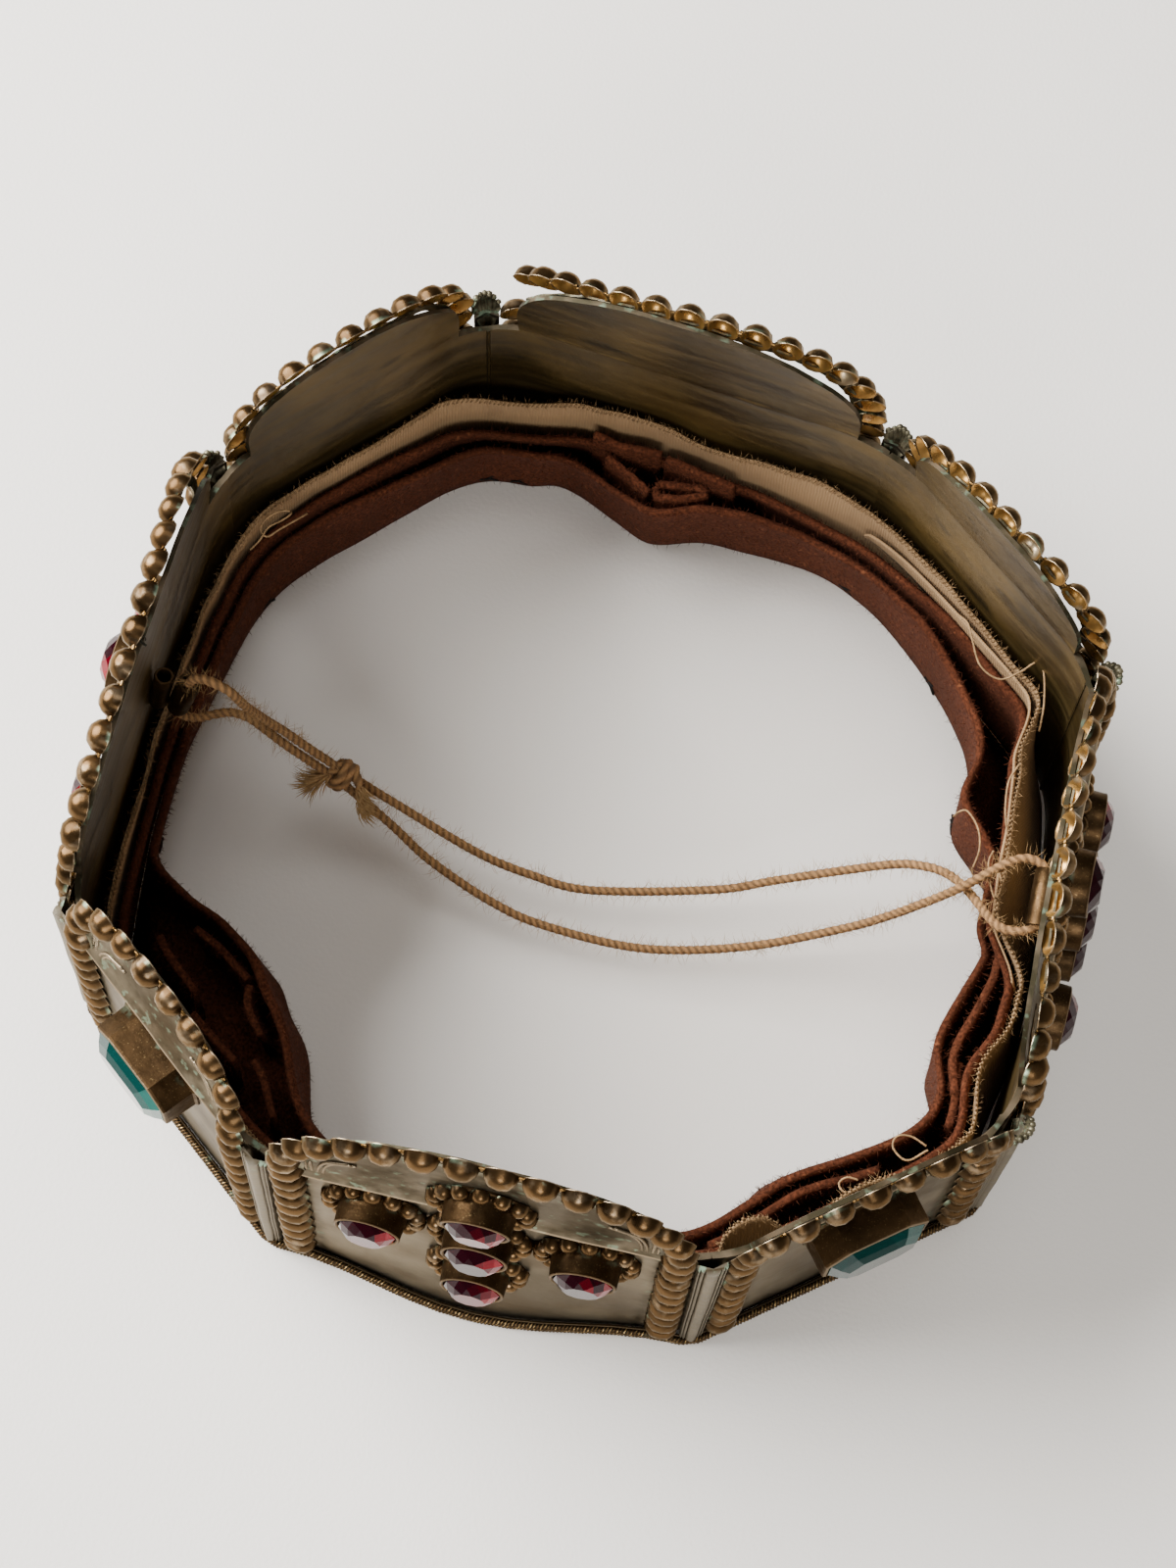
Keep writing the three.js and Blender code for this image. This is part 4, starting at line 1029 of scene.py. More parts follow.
def plate_marks(plate, u, v, outer):
    """How dark and how pale a plate is at a point: the dark share holds painted shadow under the crease's lip, the
    pale share is wear, with a painted highlight along the lip's top edge on the outer face.
    """
    above = v - plate.crease
    crest = plate.arch_top(u, EDGE_INSET) - v if abs(u) < plate.half - EDGE_INSET else 9.0
    near = [math.exp(-v / FOOT_GRIME), math.exp(-max(crest, 0) / CREST_GRIME)]
    if not outer:
        fold = math.exp(-abs(above - 1.5) / 1.6) if plate.row.lean > RIDGED_LEAN else 0.0
        return max(near), fold * max(0.0, 0.5 + noise.noise((u * 0.09, plate.index * 3.7, 0)))
    # Just under the crease the plate darkens: painted shadow of the lip above it.
    near.append(math.exp(above / CREASE_SHADOW) if above < 0 else LUNETTE_GRIME)
    near.append(math.exp(-abs(plate.half - abs(u) - BORDER_HALF) / BORDER_GRIME))
    # Just above the crease the lip's top edge is painted pale: wear, and a painted highlight.
    return max(near), math.exp(-above / 0.5) if above > 0 else 0.0


def fold_depth(plate, u, v):
    """How far the sheet comes inwards where it is folded round to the next plate, and the fold's own end."""
    ends = plate.side_at(0, v), plate.side_at(1, v)
    side = 0 if u - ends[0] < ends[1] - u else 1
    half_turn = OUT[plate.index].angle(OUT[(plate.index - 1 + 2 * side) % 8]) / 2
    radius = FOLD_REACH / math.tan(half_turn)
    gap = abs(u - ends[side])
    fade = max(0.0, min(1.0, 1 - (v - plate.crease) / FOLD_FADE))
    depth = radius - math.sqrt(radius ** 2 - max(FOLD_REACH - gap, 0) ** 2)
    least = (PLATE + radius * (1 - math.cos(half_turn))) * math.tan(half_turn) - FOLD_OVERLAP
    end = ends[0] + max(gap, least) if side == 0 else ends[1] - max(gap, least)
    return depth * fade, end


def build_plates(sizes, colours):
    finishes = [plate_outside(colours), plate_inside(colours), plate_edge(colours)]
    for plate in WALL:
        wall, lunette = plate_rows(plate)
        flat = [uv for row in wall + lunette for uv in row]
        size = ACROSS + 1 + 2 * len(FLANK)
        start = len(wall) * size
        quads = []
        for r in range(len(wall) - 1):
            for k in range(size - 1):
                a = r * size + k
                quads.append((a, a + 1, a + size + 1, a + size))
        below = (len(wall) - 1) * size + len(FLANK)
        for r in range(len(lunette)):
            up, down = start + r * (ACROSS + 1), start + (r - 1) * (ACROSS + 1) if r else below
            for k in range(ACROSS):
                quads.append((down + k, down + k + 1, up + k + 1, up + k))
        points, grime, worn = [], [], []
        for face in (0.0, -PLATE):
            for u, v in flat:
                above = v - plate.crease
                ripple = BROAD_RIPPLE * noise.noise((u * 0.045, v * 0.045, plate.index * 7.7))
                ripple += FINE_RIPPLE * noise.noise((u * 0.16, v * 0.16, plate.index * 3.1))
                end = min(u - plate.side_at(0, v), plate.side_at(1, v) - u)
                ripple *= min(1.0, v / 6, max(end - 2, 0) / RIPPLE_FADE)
                lip = LIP * math.exp(-above / LIP_FADE) if above > 0 and face == 0 else 0.0
                depth, inner_end = fold_depth(plate, u, v)
                if face == 0:
                    points.append(plate.place(u, v, lip + ripple - 1.2 * max(depth - 0.6, 0)))
                else:
                    points.append(plate.place(inner_end, v, face + ripple - depth))
                marks = plate_marks(plate, u, v, face == 0)
                grime.append(marks[0])
                worn.append(marks[1])
        faces, slots, edges = [], [], {}
        half = len(flat)
        for a, b, c, d in quads:
            faces += [(a, b, c, d), (half + d, half + c, half + b, half + a)]
            slots += [0, 1]
            for p, q in ((a, b), (b, c), (c, d), (d, a)):
                if edges.pop((q, p), None) is None:
                    edges[p, q] = True
        for p, q in edges:
            faces.append((q, p, half + p, half + q))
            slots.append(2)
        uvs = [[(flat[k % half][0] * MM, flat[k % half][1] * MM) for k in face] for face in faces]
        made = make_mesh(f"plate_{plate.name}", points, faces, finishes, slots, uvs)
        set_values(made, "grime", grime)
        set_values(made, "worn", worn)
        made.data.set_sharp_from_angle(angle=math.radians(35))
        finish_piece(made, "plate_brass", f"panel_{plate.name}")
        build_spandrels(plate, finishes[0])


# Relief in the lunette's corners: rows and columns of pebbles, and insets of the two curved wires
PEBBLE_ROWS, PEBBLE_COLUMNS, PEBBLE_PITCH = 8, 2, 1.1
WIRE_INSETS = [6.6, 7.7]
WIRE_SPREAD, WIRE_RISE, WIRE_TAIL = 4.5, 0.4, 3.0


def build_spandrels(plate, finish):
    """Raised relief in the lunette's corners: a pebbled block and two wires that bend in under the arch."""
    parts, worn = [], []
    for side in (-1, 1):
        for row in range(PEBBLE_ROWS):
            for k in range(PEBBLE_COLUMNS):
                u = side * (plate.half - 4.3 - PEBBLE_PITCH * k)
                place = plate.standing(u, plate.crease + 1.2 + PEBBLE_PITCH * row, 0.1)
                parts.append(lathe([(0, 0.5), (0.35, 0.38), (0.55, -0.2)], 6, place))
        for inset in WIRE_INSETS:
            line = []
            for k in range(9):
                angle = math.pi / 2 * k / 8
                line.append(Vector((plate.half - inset - WIRE_SPREAD * (1 - math.cos(angle)),
                                    plate.crease + 0.4 + WIRE_RISE * plate.rise * math.sin(angle))))
            for k in range(1, 6):
                line.append(line[8] + Vector((-WIRE_TAIL, 1.4)) * k / 5)
            parts.append(plate_wire(plate, [Vector((side * p.x, p.y)) for p in line]))
    points, faces = join_parts(parts)
    made = make_mesh(f"spandrels_{plate.name}", points, faces, [finish])
    set_values(made, "grime", [0.3] * len(points))
    set_values(made, "worn", [0.75] * len(points))
    finish_piece(made, "plate_brass")


def plate_wire(plate, line):
    """Points and faces of a raised wire along a line on the plate."""
    sections = []
    for k, spot in enumerate(line):
        ahead = (line[min(k + 1, len(line) - 1)] - line[max(k - 1, 0)]).normalized()
        across = Vector((-ahead.y, ahead.x)) * 0.3
        near, far = spot - across, spot + across
        sections.append([plate.place(near.x, near.y, -0.1), plate.place(near.x, near.y, 0.5),
                         plate.place(far.x, far.y, 0.5), plate.place(far.x, far.y, -0.1)])
    points, faces, _ = loft(sections)
    return points, faces


# Socket tubes: foot and head as places along, up and out of the plate, outer radius and bore
TUBES = {
    "left": [((-2.4, 58, -2.8), (-3.8, 71, -3.8), 2.2, 1.6), ((-2.4, 58, -7.4), (-3.8, 71, -9.6), 2.6, 1.9)],
    "right": [((-2.4, 57, -3.4), (10.6, 58.5, -3.4), 2.9, 2.3)],
}


def build_tubes(sizes, colours):
    finish = collet_bronze(colours)
    for name, rows in TUBES.items():
        plate = PLATE_BY_NAME[name]
        parts = []
        for foot, head, radius, bore in rows:
            start, end = plate.place(*foot), plate.place(*head)
            axis = end - start
            turn = axis.to_track_quat("Z", "Y").to_matrix().to_4x4()
            tall = axis.length
            profile = [(bore, 0), (radius, 0), (radius, tall * 0.5), (radius, tall - 0.25),
                       (radius - 0.2, tall), (bore, tall), (bore, 0)]
            parts.append(lathe(profile, 20, Matrix.Translation(start) @ turn))
        points, faces = join_parts(parts)
        made = make_mesh(f"socket_tubes_{name}", points, faces, [finish])
        made.data.set_sharp_from_angle(angle=math.radians(40))
        set_values(made, "rim", [0.1] * len(points))
        set_values(made, "low", [0.4] * len(points))
        finish_piece(made, "plate_brass")


# Bead borders
def make_shape(name, points, faces, **values):
    """A small shape in millimetres about its own origin, to be copied and then dropped."""
    mesh = bpy.data.meshes.new(name)
    mesh.from_pydata([Vector(p) * MM for p in points], [], faces)
    face_outward(mesh)
    shape = make_object(name, mesh)
    for key, numbers in values.items():
        set_values(shape, key, numbers)
    return shape


def bead_shape(name, radius, height, wall, tab):
    """A hollow stamped dome with a thin rim, and a tab each way along the strip."""
    sides = 12
    profile = [(0, height), (radius * 0.55, height * 0.86), (radius * 0.87, height * 0.52), (radius, 0.2),
               (radius + 0.12, 0.0), (radius - wall, 0.0), (radius * 0.66 - wall, height * 0.72 - wall),
               (0, height - wall)]
    points, faces = lathe(profile, sides, Matrix.Identity(4))
    # low: 1 at the rim and 0 at the apex; the finish paints shade, dirt and green crust by it.
    low = [0.0] + [0.2] * sides + [0.5] * sides + [0.94] * sides + [1.0] * (2 * sides) + [0.6] * sides + [0.3]
    inside = [0.0] * (1 + 4 * sides) + [1.0] * (2 * sides + 1)
    for way in (-1, 1):
        start = len(points)
        near, far, half = way * (radius - 0.3), way * tab, 1.25
        for z in (-0.05, 0.4):
            points += [Vector((near, -half, z)), Vector((far, -half, z)),
                       Vector((far, half, z)), Vector((near, half, z))]
        for face in ((3, 2, 1, 0), (4, 5, 6, 7), (0, 1, 5, 4), (2, 3, 7, 6)):
            faces.append(tuple(start + k for k in face))
        low += [0.8] * 8
        inside += [0.25] * 8
    return make_shape(name, points, faces, low=low, inside=inside)


def stud_shape(name, radius):
    """A small half-round stud."""
    points, faces = lathe([(0, radius), (radius * 0.5, radius * 0.87), (radius * 0.87, radius * 0.5),
                           (radius, -0.3)], 10, Matrix.Identity(4))
    # low: the finish paints shade, dirt and green crust towards the stud's foot by it.
    low = [0.0] + [0.1] * 10 + [0.4] * 10 + [0.9] * 10
    return make_shape(name, points, faces, low=low, inside=[0.0] * len(points))


def border_route(plate):
    """Corners of the border's line on the plate: up the left side, over the arch and down again."""
    half, rise, steps = plate.half, plate.rise, 48
    route = [(plate.side_at(0, BORDER_FOOT) + BORDER_INSET, BORDER_FOOT), (-half, plate.crease)]
    for k in range(steps + 1):
        angle = math.pi * k / steps
        c, s = math.cos(angle), math.sin(angle)
        u = -math.copysign(half * abs(c) ** (2 / ARCH_POWER), c)
        route.append((u, plate.crease + SPRING + rise * abs(s) ** (2 / ARCH_POWER)))
    route += [(half, plate.crease), (plate.side_at(1, BORDER_FOOT) - BORDER_INSET, BORDER_FOOT)]
    return [Vector(p) for p in route]


def along_route(route, share):
    """Point and direction at a share of a route's length."""
    lengths = [(b - a).length for a, b in zip(route, route[1:])]
    left = max(0.0, min(1.0, share)) * sum(lengths)
    for a, b, size in zip(route, route[1:], lengths):
        if left <= size:
            return a.lerp(b, left / size), (b - a).normalized()
        left -= size
    return route[-1], (route[-1] - route[-2]).normalized()


def route_length(route):
    return sum((b - a).length for a, b in zip(route, route[1:]))


# Where along a strip it springs off its plate, and over how much of it
SPRING_AT, SPRING_SPREAD = 0.35, 0.1

# How fast a strip's bend fades from its crest, faster on the right plate, the least share of it that is
# left, the height over which it sets in, and how much wider the beads of the side columns are
CURL_FADE, SHARP_FADE, LEAST_CURL, CURL_HEIGHT, COLUMN_WIDENING = 1.6, 12.0, -0.6, 10.0, 0.11

# The back strip's broken end: beads lost, beads bent up, and the last one's lift and turn in radians
BEADS_LOST, BEADS_BENT, BROKEN_LIFT, BROKEN_TURN = 3, 5, 4.0, -0.3
BEAD_UNEVENNESS = 0.045


def bead_seat(plate, route, share, lift=0.0, extra=0.0):
    """Where a bead sits: upright on the side columns, bent over by the plate's curl on the arch."""
    here, way = along_route(route, share)
    step = 0.3
    along = plate.place(*(here + way * step)) - plate.place(*(here - way * step))
    away = Vector((-way.y, way.x))
    spread = (plate.place(*(here + away * step)) - plate.place(*(here - away * step))).normalized()
    along.normalize()
    out = along.cross(spread)
    out = -out if out.dot(plate.n) < 0 else out
    above = max(0.0, min(1.0, (here.y - plate.crease) / CURL_HEIGHT))
    fade = SHARP_FADE if plate.name == "right" else CURL_FADE
    crest = max(LEAST_CURL, 1 - fade * (2 * share - 1) ** 2)
    turn = math.radians(plate.row.curl) * crest * above + extra
    facing = out * math.cos(turn) - spread * math.sin(turn)
    wide = 1 + COLUMN_WIDENING * (1 - above)
    raised = plate.place(here.x, here.y, GAP + lift)
    return Seat(raised, facing.normalized(), along, (1.0, wide, 1.0))


def spring_lift(plate, share):
    """How far the strip stands off the plate, most at about a third of its length."""
    return plate.row.spring * math.exp(-((share - SPRING_AT) / SPRING_SPREAD) ** 2)


def build_borders(sizes, colours):
    bronze = bead_bronze(colours)
    crust = leaf_bronze(colours)
    pitch = sizes.bead_pitch / MM
    shape = bead_shape("bead", sizes.bead_radius / MM, sizes.bead_height / MM, 0.35, pitch / 2 + 0.1)
    for plate in WALL:
        route = border_route(plate)
        total = round(route_length(route) / pitch)
        count, column = total, 0
        if plate.name == "back":
            column = math.floor((plate.crease - BORDER_FOOT) / pitch)
            count = total - column - BEADS_LOST
        seats = []
        for k in range(count):
            share = (k + 0.5) / total
            broken = max(0.0, (k + 0.5 - count) / BEADS_BENT + 1) if column else 0.0
            lift = BROKEN_LIFT * broken ** 2 + spring_lift(plate, share)
            seats.append(bead_seat(plate, route, share, lift, BROKEN_TURN * broken))
        name = f"bead_border_{plate.name}"
        made = set_on(seats, shape, name + "_beads", bronze, BEAD_UNEVENNESS,
                      sizes.seed + plate.index)
        finish_piece(made, "bead_brass", name)
        if column:
            seats = [bead_seat(plate, route, (total - column + k + 0.5) / total) for k in range(column)]
            loose = bead_seat(plate, route, (total - column - 0.55) / total, 1.5, -0.5)
            made = set_on(seats + [loose], shape, "bead_column_back_beads", bronze, BEAD_UNEVENNESS,
                          sizes.seed)
            finish_piece(made, "bead_brass", "bead_column_back")
        build_strip(plate, route, count / total, crust)
    drop(shape)
    build_tie()


def build_strip(plate, route, end, finish):
    """The thin crusted edge of the strip under the arch's beads."""
    sections, steps = [], 120
    for k in range(steps + 1):
        share = end * k / steps
        here, way = along_route(route, share)
        if here.y < plate.crease + 1:
            continue
        away = Vector((-way.y, way.x))
        rough = noise.noise((share * 60, plate.index * 5.3, 0.0))
        near, far = -2.0 + 0.2 * rough, -4.3 + 0.9 * rough
        lift = 0.25 + 0.25 * rough + spring_lift(plate, share)
        corners = ((near, lift), (near, lift + 0.45), (far, lift + 0.45), (far, lift))
        section = [plate.place(here.x + away.x * a, max(here.y + away.y * a, plate.crease + 0.1), w)
                   for a, w in corners]
        sections.append(section)
    points, faces, uvs = loft(sections)
    made = make_mesh(f"border_strip_{plate.name}", points, faces, [finish], uvs=uvs, smooth=False)
    finish_piece(made, "bead_brass")


# Wire tie on the left strip: share of the way along it, and the loop's reach across and out
TIE_AT, TIE_ACROSS, TIE_OUT = 0.514, 2.9, 1.7


def build_tie():
    """Two turns of dark wire round the left strip, with a twisted end after the last turn."""
    plate = PLATE_BY_NAME["left"]
    here, way = along_route(border_route(plate), TIE_AT)
    away = Vector((-way.y, way.x))
    line = []
    for k in range(25):
        angle = 4 * math.pi * k / 24
        spot = here + way * (k / 12 - 1) + away * (TIE_ACROSS * math.cos(angle) - 3.2)
        line.append(plate.place(spot.x, spot.y, 0.7 + TIE_OUT * math.sin(angle)))
    for k in range(1, 4):
        line.append(line[24] + plate.n * -0.9 * k + plate.e * 0.4 * k)
    wire = rope_along(line, "strip_tie", plain_thread("tie_wire", srgb(52, 50, 40), 0.5), Radius=0.0003,
                      Lobes=2.0, Depth=0.1, Turns=300.0, Step=0.0006, Sides=6)
    finish_piece(wire, "bead_brass")


# Collets, rosettes and stones
COLLET_SIDES = 28
ROSETTE_PLATE = 11.0
CROSS = {"centre": (0, 0), "top": (0, 1), "bottom": (0, -1), "left": (-1, 0), "right": (1, 0)}


def cross_places(plate):
    for name, (u, v) in CROSS.items():
        yield name, plate.standing(u * CROSS_ARM, CROSS_HEIGHT + v * CROSS_ARM)


def cut_corners(width, height, corner):
    x, y = width / 2, height / 2
    return [(x, y - corner), (x - corner, y), (corner - x, y), (-x, y - corner),
            (-x, corner - y), (corner - x, -y), (x - corner, -y), (x, corner - y)]


def stacked(levels, place, cap_foot=True):
    """Points and faces through outlines at rising heights; the last one is closed with a face."""
    size = len(levels[0][0])
    points = [place @ Vector((x, y, z)) for outline, z in levels for x, y in outline]
    faces = []
    for k in range(len(levels) - 1):
        for j in range(size):
            side = (j + 1) % size
            faces.append((k * size + j, k * size + side, (k + 1) * size + side, (k + 1) * size + j))
    last = (len(levels) - 1) * size
    faces.append(tuple(last + j for j in range(size)))
    if cap_foot:
        faces.append(tuple(reversed(range(size))))
    return points, faces


def build_collets(sizes, colours):
    bronze = collet_bronze(colours)
    red_foil, green_foil = foil("foil_red", colours.ruby), foil("foil_green", colours.teal)
    small = stud_shape("rosette_bead", sizes.rosette_bead / MM)
    rose = bead_bronze(colours)
    for plate in WALL:
        if not plate.wide:
            build_block_collet(plate, bronze, green_foil)
            continue
        parts, rims, lows, seats = [], [], [], []
        outer = sizes.collet_radius / MM
        for name, place in cross_places(plate):
            profile = [(ROSETTE_PLATE, -0.3), (ROSETTE_PLATE, 0.35), (ROSETTE_PLATE - 0.4, 0.6),
                       (outer + 0.7, 0.65), (outer + 0.35, 1.2),
                       (outer + 0.2, 3.0), (outer, COLLET_DEPTH - 0.5), (outer + 0.05, COLLET_DEPTH),
                       (outer - 0.35, COLLET_DEPTH + 0.25), (outer - 0.75, COLLET_DEPTH),
                       (outer - 0.75, 1.4), (0, 1.4)]
            points, faces = lathe(profile, COLLET_SIDES, place)
            parts.append((points, faces))
            rim = [0, 0, 0, 0, 0, 0, 0, 0.6, 1, 0.6, 0]
            low = [1, 1, 1, 1, 0.9, 0.35, 0.1, 0, 0, 0, 0]
            rims += [r for r in rim for _ in range(COLLET_SIDES)] + [0]
            lows += [r for r in low for _ in range(COLLET_SIDES)] + [0]
            ring, reach = sizes.rosette_beads, sizes.rosette_radius / MM
            turn = place.to_3x3()
            for k in range(ring):
                angle = 2 * math.pi * (k + 0.5) / ring
                spot = place @ Vector((reach * math.cos(angle), reach * math.sin(angle), 0.55))
                way = turn @ Vector((-math.sin(angle), math.cos(angle), 0))
                seats.append(Seat(spot, turn @ Vector((0, 0, 1)), way, (1.0, 1.0, 1.0)))
        points, faces = join_parts(parts)
        marks = [1 if len(face) == 3 else 0 for face in faces]
        made = make_mesh(f"collets_{plate.name}", points, faces, [bronze, red_foil], marks, outward=False)
        made.data.set_sharp_from_angle(angle=math.radians(50))
        set_values(made, "rim", rims)
        set_values(made, "low", lows)
        finish_piece(made, "plate_brass")
        made = set_on(seats, small, f"rosettes_{plate.name}", rose, 0.07, sizes.seed + 20 + plate.index)
        finish_piece(made, "plate_brass")
    drop(small)


def build_block_collet(plate, bronze, green_foil):
    place = plate.standing(0, BLOCK_HEIGHT)
    deep = BLOCK_DEPTH
    outer = cut_corners(24, 19, 5)
    levels = [(cut_corners(25.2, 20.2, 5.2), -0.3), (cut_corners(25.2, 20.2, 5.2), 0.3),
              (cut_corners(24.2, 19.2, 5), 0.8), (outer, 3.5), (outer, deep - 0.6),
              (cut_corners(23.7, 18.7, 5), deep), (cut_corners(22.6, 17.6, 4.7), deep + 0.15),
              (cut_corners(22.1, 17.1, 4.5), deep - 0.3), (cut_corners(22, 17, 4.4), deep - 4.6)]
    points, faces = stacked(levels, place, cap_foot=False)
    marks = [0] * (len(faces) - 1) + [1]
    made = make_mesh(f"collet_{plate.name}", points, faces, [bronze, green_foil], marks, smooth=False,
                     outward=False)
    rims = [0, 0, 0, 0, 0.2, 1, 1, 0.4, 0]
    lows = [1, 1, 0.8, 0.15, 0, 0, 0, 0, 0]
    set_values(made, "rim", [r for r in rims for _ in range(8)])
    set_values(made, "low", [r for r in lows for _ in range(8)])
    finish_piece(made, "plate_brass")


def painted_facet_light(thing, seed, plate):
    """Painted brightness of each facet, standing in for the light through the stone: most on the side that the light
    leaves by.
    """
    chance = random.Random(seed)
    glow = (plate.e * 0.8 - Vector((0, 0, 0.5))).normalized()
    values = [0.5 + 0.7 * face.normal.dot(glow) + chance.uniform(-0.22, 0.22) for face in thing.data.polygons]
    layer = thing.data.attributes.new("facet", "FLOAT", "FACE")
    layer.data.foreach_set("value", values)


def round_stone(place, girdle):
    """A round stone with a table, stars, kites and a pointed back."""
    sides, top = 10, COLLET_DEPTH + 2.3
    def ring(radius, z, turn):
        angles = [2 * math.pi * (k + turn) / sides for k in range(sides)]
        return [place @ Vector((radius * math.cos(a), radius * math.sin(a), z)) for a in angles]
    table, star = ring(girdle * 0.58, top, 0.25), ring(girdle * 0.8, top - 0.95, 0.75)
    upper, lower = ring(girdle, COLLET_DEPTH + 0.1, 0.25), ring(girdle, COLLET_DEPTH - 0.6, 0.25)
    culet = ring(girdle * 0.12, 1.9, 0.25)
    points = table + star + upper + lower + culet
    faces = [tuple(range(sides)), tuple(reversed(range(4 * sides, 5 * sides)))]
    for k in range(sides):
        j, i = (k + 1) % sides, (k - 1) % sides
        t, s, g, b, c = k, sides + k, 2 * sides + k, 3 * sides + k, 4 * sides + k
        faces += [(t, s, j), (t, sides + i, g, s), (s, g, 2 * sides + j),
                  (g, b, 3 * sides + j, 2 * sides + j), (b, c, 4 * sides + j, 3 * sides + j)]
    return points, faces


def build_red_stones(sizes, colours):
    glass = cut_glass("ruby_glass", colours.ruby, srgb(36, 2, 12))
    for plate in WALL:
        if not plate.wide:
            continue
        for name, place in cross_places(plate):
            points, faces = round_stone(place, sizes.collet_radius / MM - 0.85)
            made = make_mesh(f"ruby_{plate.name}_{name}", points, faces, [glass], smooth=False)
            painted_facet_light(made, f"{sizes.seed}{plate.name}{name}", plate)
            finish_piece(made, "red_glass", f"red_stone_{plate.name}_{name}")


def build_green_stones(sizes, colours):
    glass = cut_glass("teal_glass", colours.teal, srgb(2, 56, 52))
    for plate in WALL:
        if plate.wide:
            continue
        place = plate.standing(0, BLOCK_HEIGHT)
        deep = BLOCK_DEPTH
        levels = [(cut_corners(9, 5, 1), deep - 4.2), (cut_corners(16, 11.5, 2.6), deep - 2.4),
                  (cut_corners(21.6, 16.6, 4.3), deep - 0.5), (cut_corners(21.6, 16.6, 4.3), deep + 0.1),
                  (cut_corners(18.6, 13.8, 3.6), deep + 1.5), (cut_corners(15.4, 10.8, 3), deep + 2.6)]
        points, faces = stacked(levels, place)
        made = make_mesh(f"teal_{plate.name}", points, faces, [glass], smooth=False)
        painted_facet_light(made, f"{sizes.seed}{plate.name}", plate)
        finish_piece(made, "green_glass", f"green_stone_{plate.name}")


# Corner posts and base moulding
POST_STEPS = 14

# A post's section: reach along the wall, distance out of it, and how much of a groove is there, painted darker as
# shade and grime
POST_SECTION = [
    (-3.3, 0.3, 0.6), (0, 0.3, 0.6), (3.3, 0.3, 0.6), (3.35, 1.1, 0.5), (3.1, 1.5, 0), (2.85, 1.45, 0.2),
    (2.65, 1.0, 1), (2.45, 1.45, 0.2), (2.15, 1.6, 0), (1.9, 1.45, 0.2), (1.7, 1.05, 1), (1.5, 1.5, 0.2),
    (1.25, 1.75, 0), (0.6, 1.85, 0), (0, 1.9, 0), (-0.6, 1.85, 0), (-1.25, 1.75, 0), (-1.5, 1.5, 0.2),
    (-1.7, 1.05, 1), (-1.9, 1.45, 0.2), (-2.15, 1.6, 0), (-2.45, 1.45, 0.2), (-2.65, 1.0, 1),
    (-2.85, 1.45, 0.2), (-3.1, 1.5, 0), (-3.35, 1.1, 0.5),
]


def post_point(i, z, arm, w):
    along = (ALONG[i - 1] if arm < 0 else ALONG[i]).to_3d()
    return wall_corner(i, z, w) + along * arm


def build_posts(sizes, colours):
    silver, bronze = post_silver(colours), leaf_bronze(colours)
    for i, corner in enumerate(CORNERS):
        sections, grooves, heads = [], [], []
        for k in range(POST_STEPS + 1):
            z = POST_FOOT + (WALL_HEIGHT - POST_FOOT) * k / POST_STEPS
            bend = 0.25 * noise.noise((i * 4.7, z * 0.06, 0))
            spread = 0.82 + 0.18 * k / POST_STEPS
            sections.append([post_point(i, z, arm * spread, max(w + bend * (w > 0.5), 0.3))
                             for arm, w, groove in POST_SECTION])
            grooves += [groove for arm, w, groove in POST_SECTION]
            heads += [max(0.0, (z - WALL_HEIGHT + 9) / 9)] * len(POST_SECTION)
        points, faces, uvs = loft(sections)
        made = make_mesh(f"post_{i + 1}", points, faces, [silver], uvs=uvs)
        made.data.set_sharp_from_angle(angle=math.radians(50))
        set_values(made, "groove", grooves)
        set_values(made, "head", heads)
        finish_piece(made, "post_brass", f"corner_post_{i + 1}")
        if corner.tip:
            build_leaf(i, corner.tip, bronze, sizes.seed + i)


def build_leaf(i, tip, finish, seed):
    """A shell on the head of a post: a fluted fan with a row of small lumps round its rim."""
    chance = random.Random(seed)
    outward = (OUT[i - 1] + OUT[i]).normalized().to_3d()
    across = Vector((-outward.y, outward.x, 0))
    up = Vector((0, 0, 1))
    foot = wall_corner(i, WALL_HEIGHT - 3, 0.2)
    flutes, rows, sections, rim = 7, 5, [], []
    for k in range(flutes * 4 + 1):
        s = k / (flutes * 2) - 1
        crown = 0.5 - 0.5 * math.cos(math.pi * (s + 1) * flutes)
        tall = (tip + 2.6) * (1 - 0.42 * s * s) * chance.uniform(0.95, 1.03)
        section = []
        for r in range(rows + 1):
            t = r / rows
            bulge = 0.5 * crown * t + 1.9 * math.sin(math.pi * 0.55 * t) - 1.6 * s * s
            section.append(foot + across * (s * (1.6 + 1.9 * t)) + outward * bulge + up * (tall * t))
        sections.append(section + [p - outward * 0.8 for p in reversed(section)])
        if k % 4 == 2:
            rim.append(section[-1] - outward * 0.3)
    points, faces, _ = loft(sections)
    parts = [(points, faces)]
    for spot in rim:
        size = chance.uniform(0.65, 0.95)
        ball = [(0, size), (size * 0.8, size * 0.5), (size, 0), (size * 0.7, -size * 0.7), (0, -size)]
        parts.append(lathe(ball, 7, Matrix.Translation(spot)))
    points, faces = join_parts(parts)
    made = make_mesh(f"leaf_{i + 1}", points, faces, [finish])
    made.data.set_sharp_from_angle(angle=math.radians(60))
    finish_piece(made, "post_brass")


def foot_route(w, z):
    """A closed line round the foot of the wall, w outside its face, rounded at the corners."""
    route, rounding, steps = [], 1.6, 12
    for i, plate in enumerate(WALL):
        left, right = plate.side_at(0, 0) + rounding, plate.side_at(1, 0) - rounding
        for k in range(steps + 1):
            u = left + (right - left) * k / steps
            point = plate.place(u, 0, w)
            sway = 0.12 * noise.noise((i * 3.3 + k * 0.4, 0, 0))
            route.append(Vector((point.x, point.y, z + sway)))
    return route


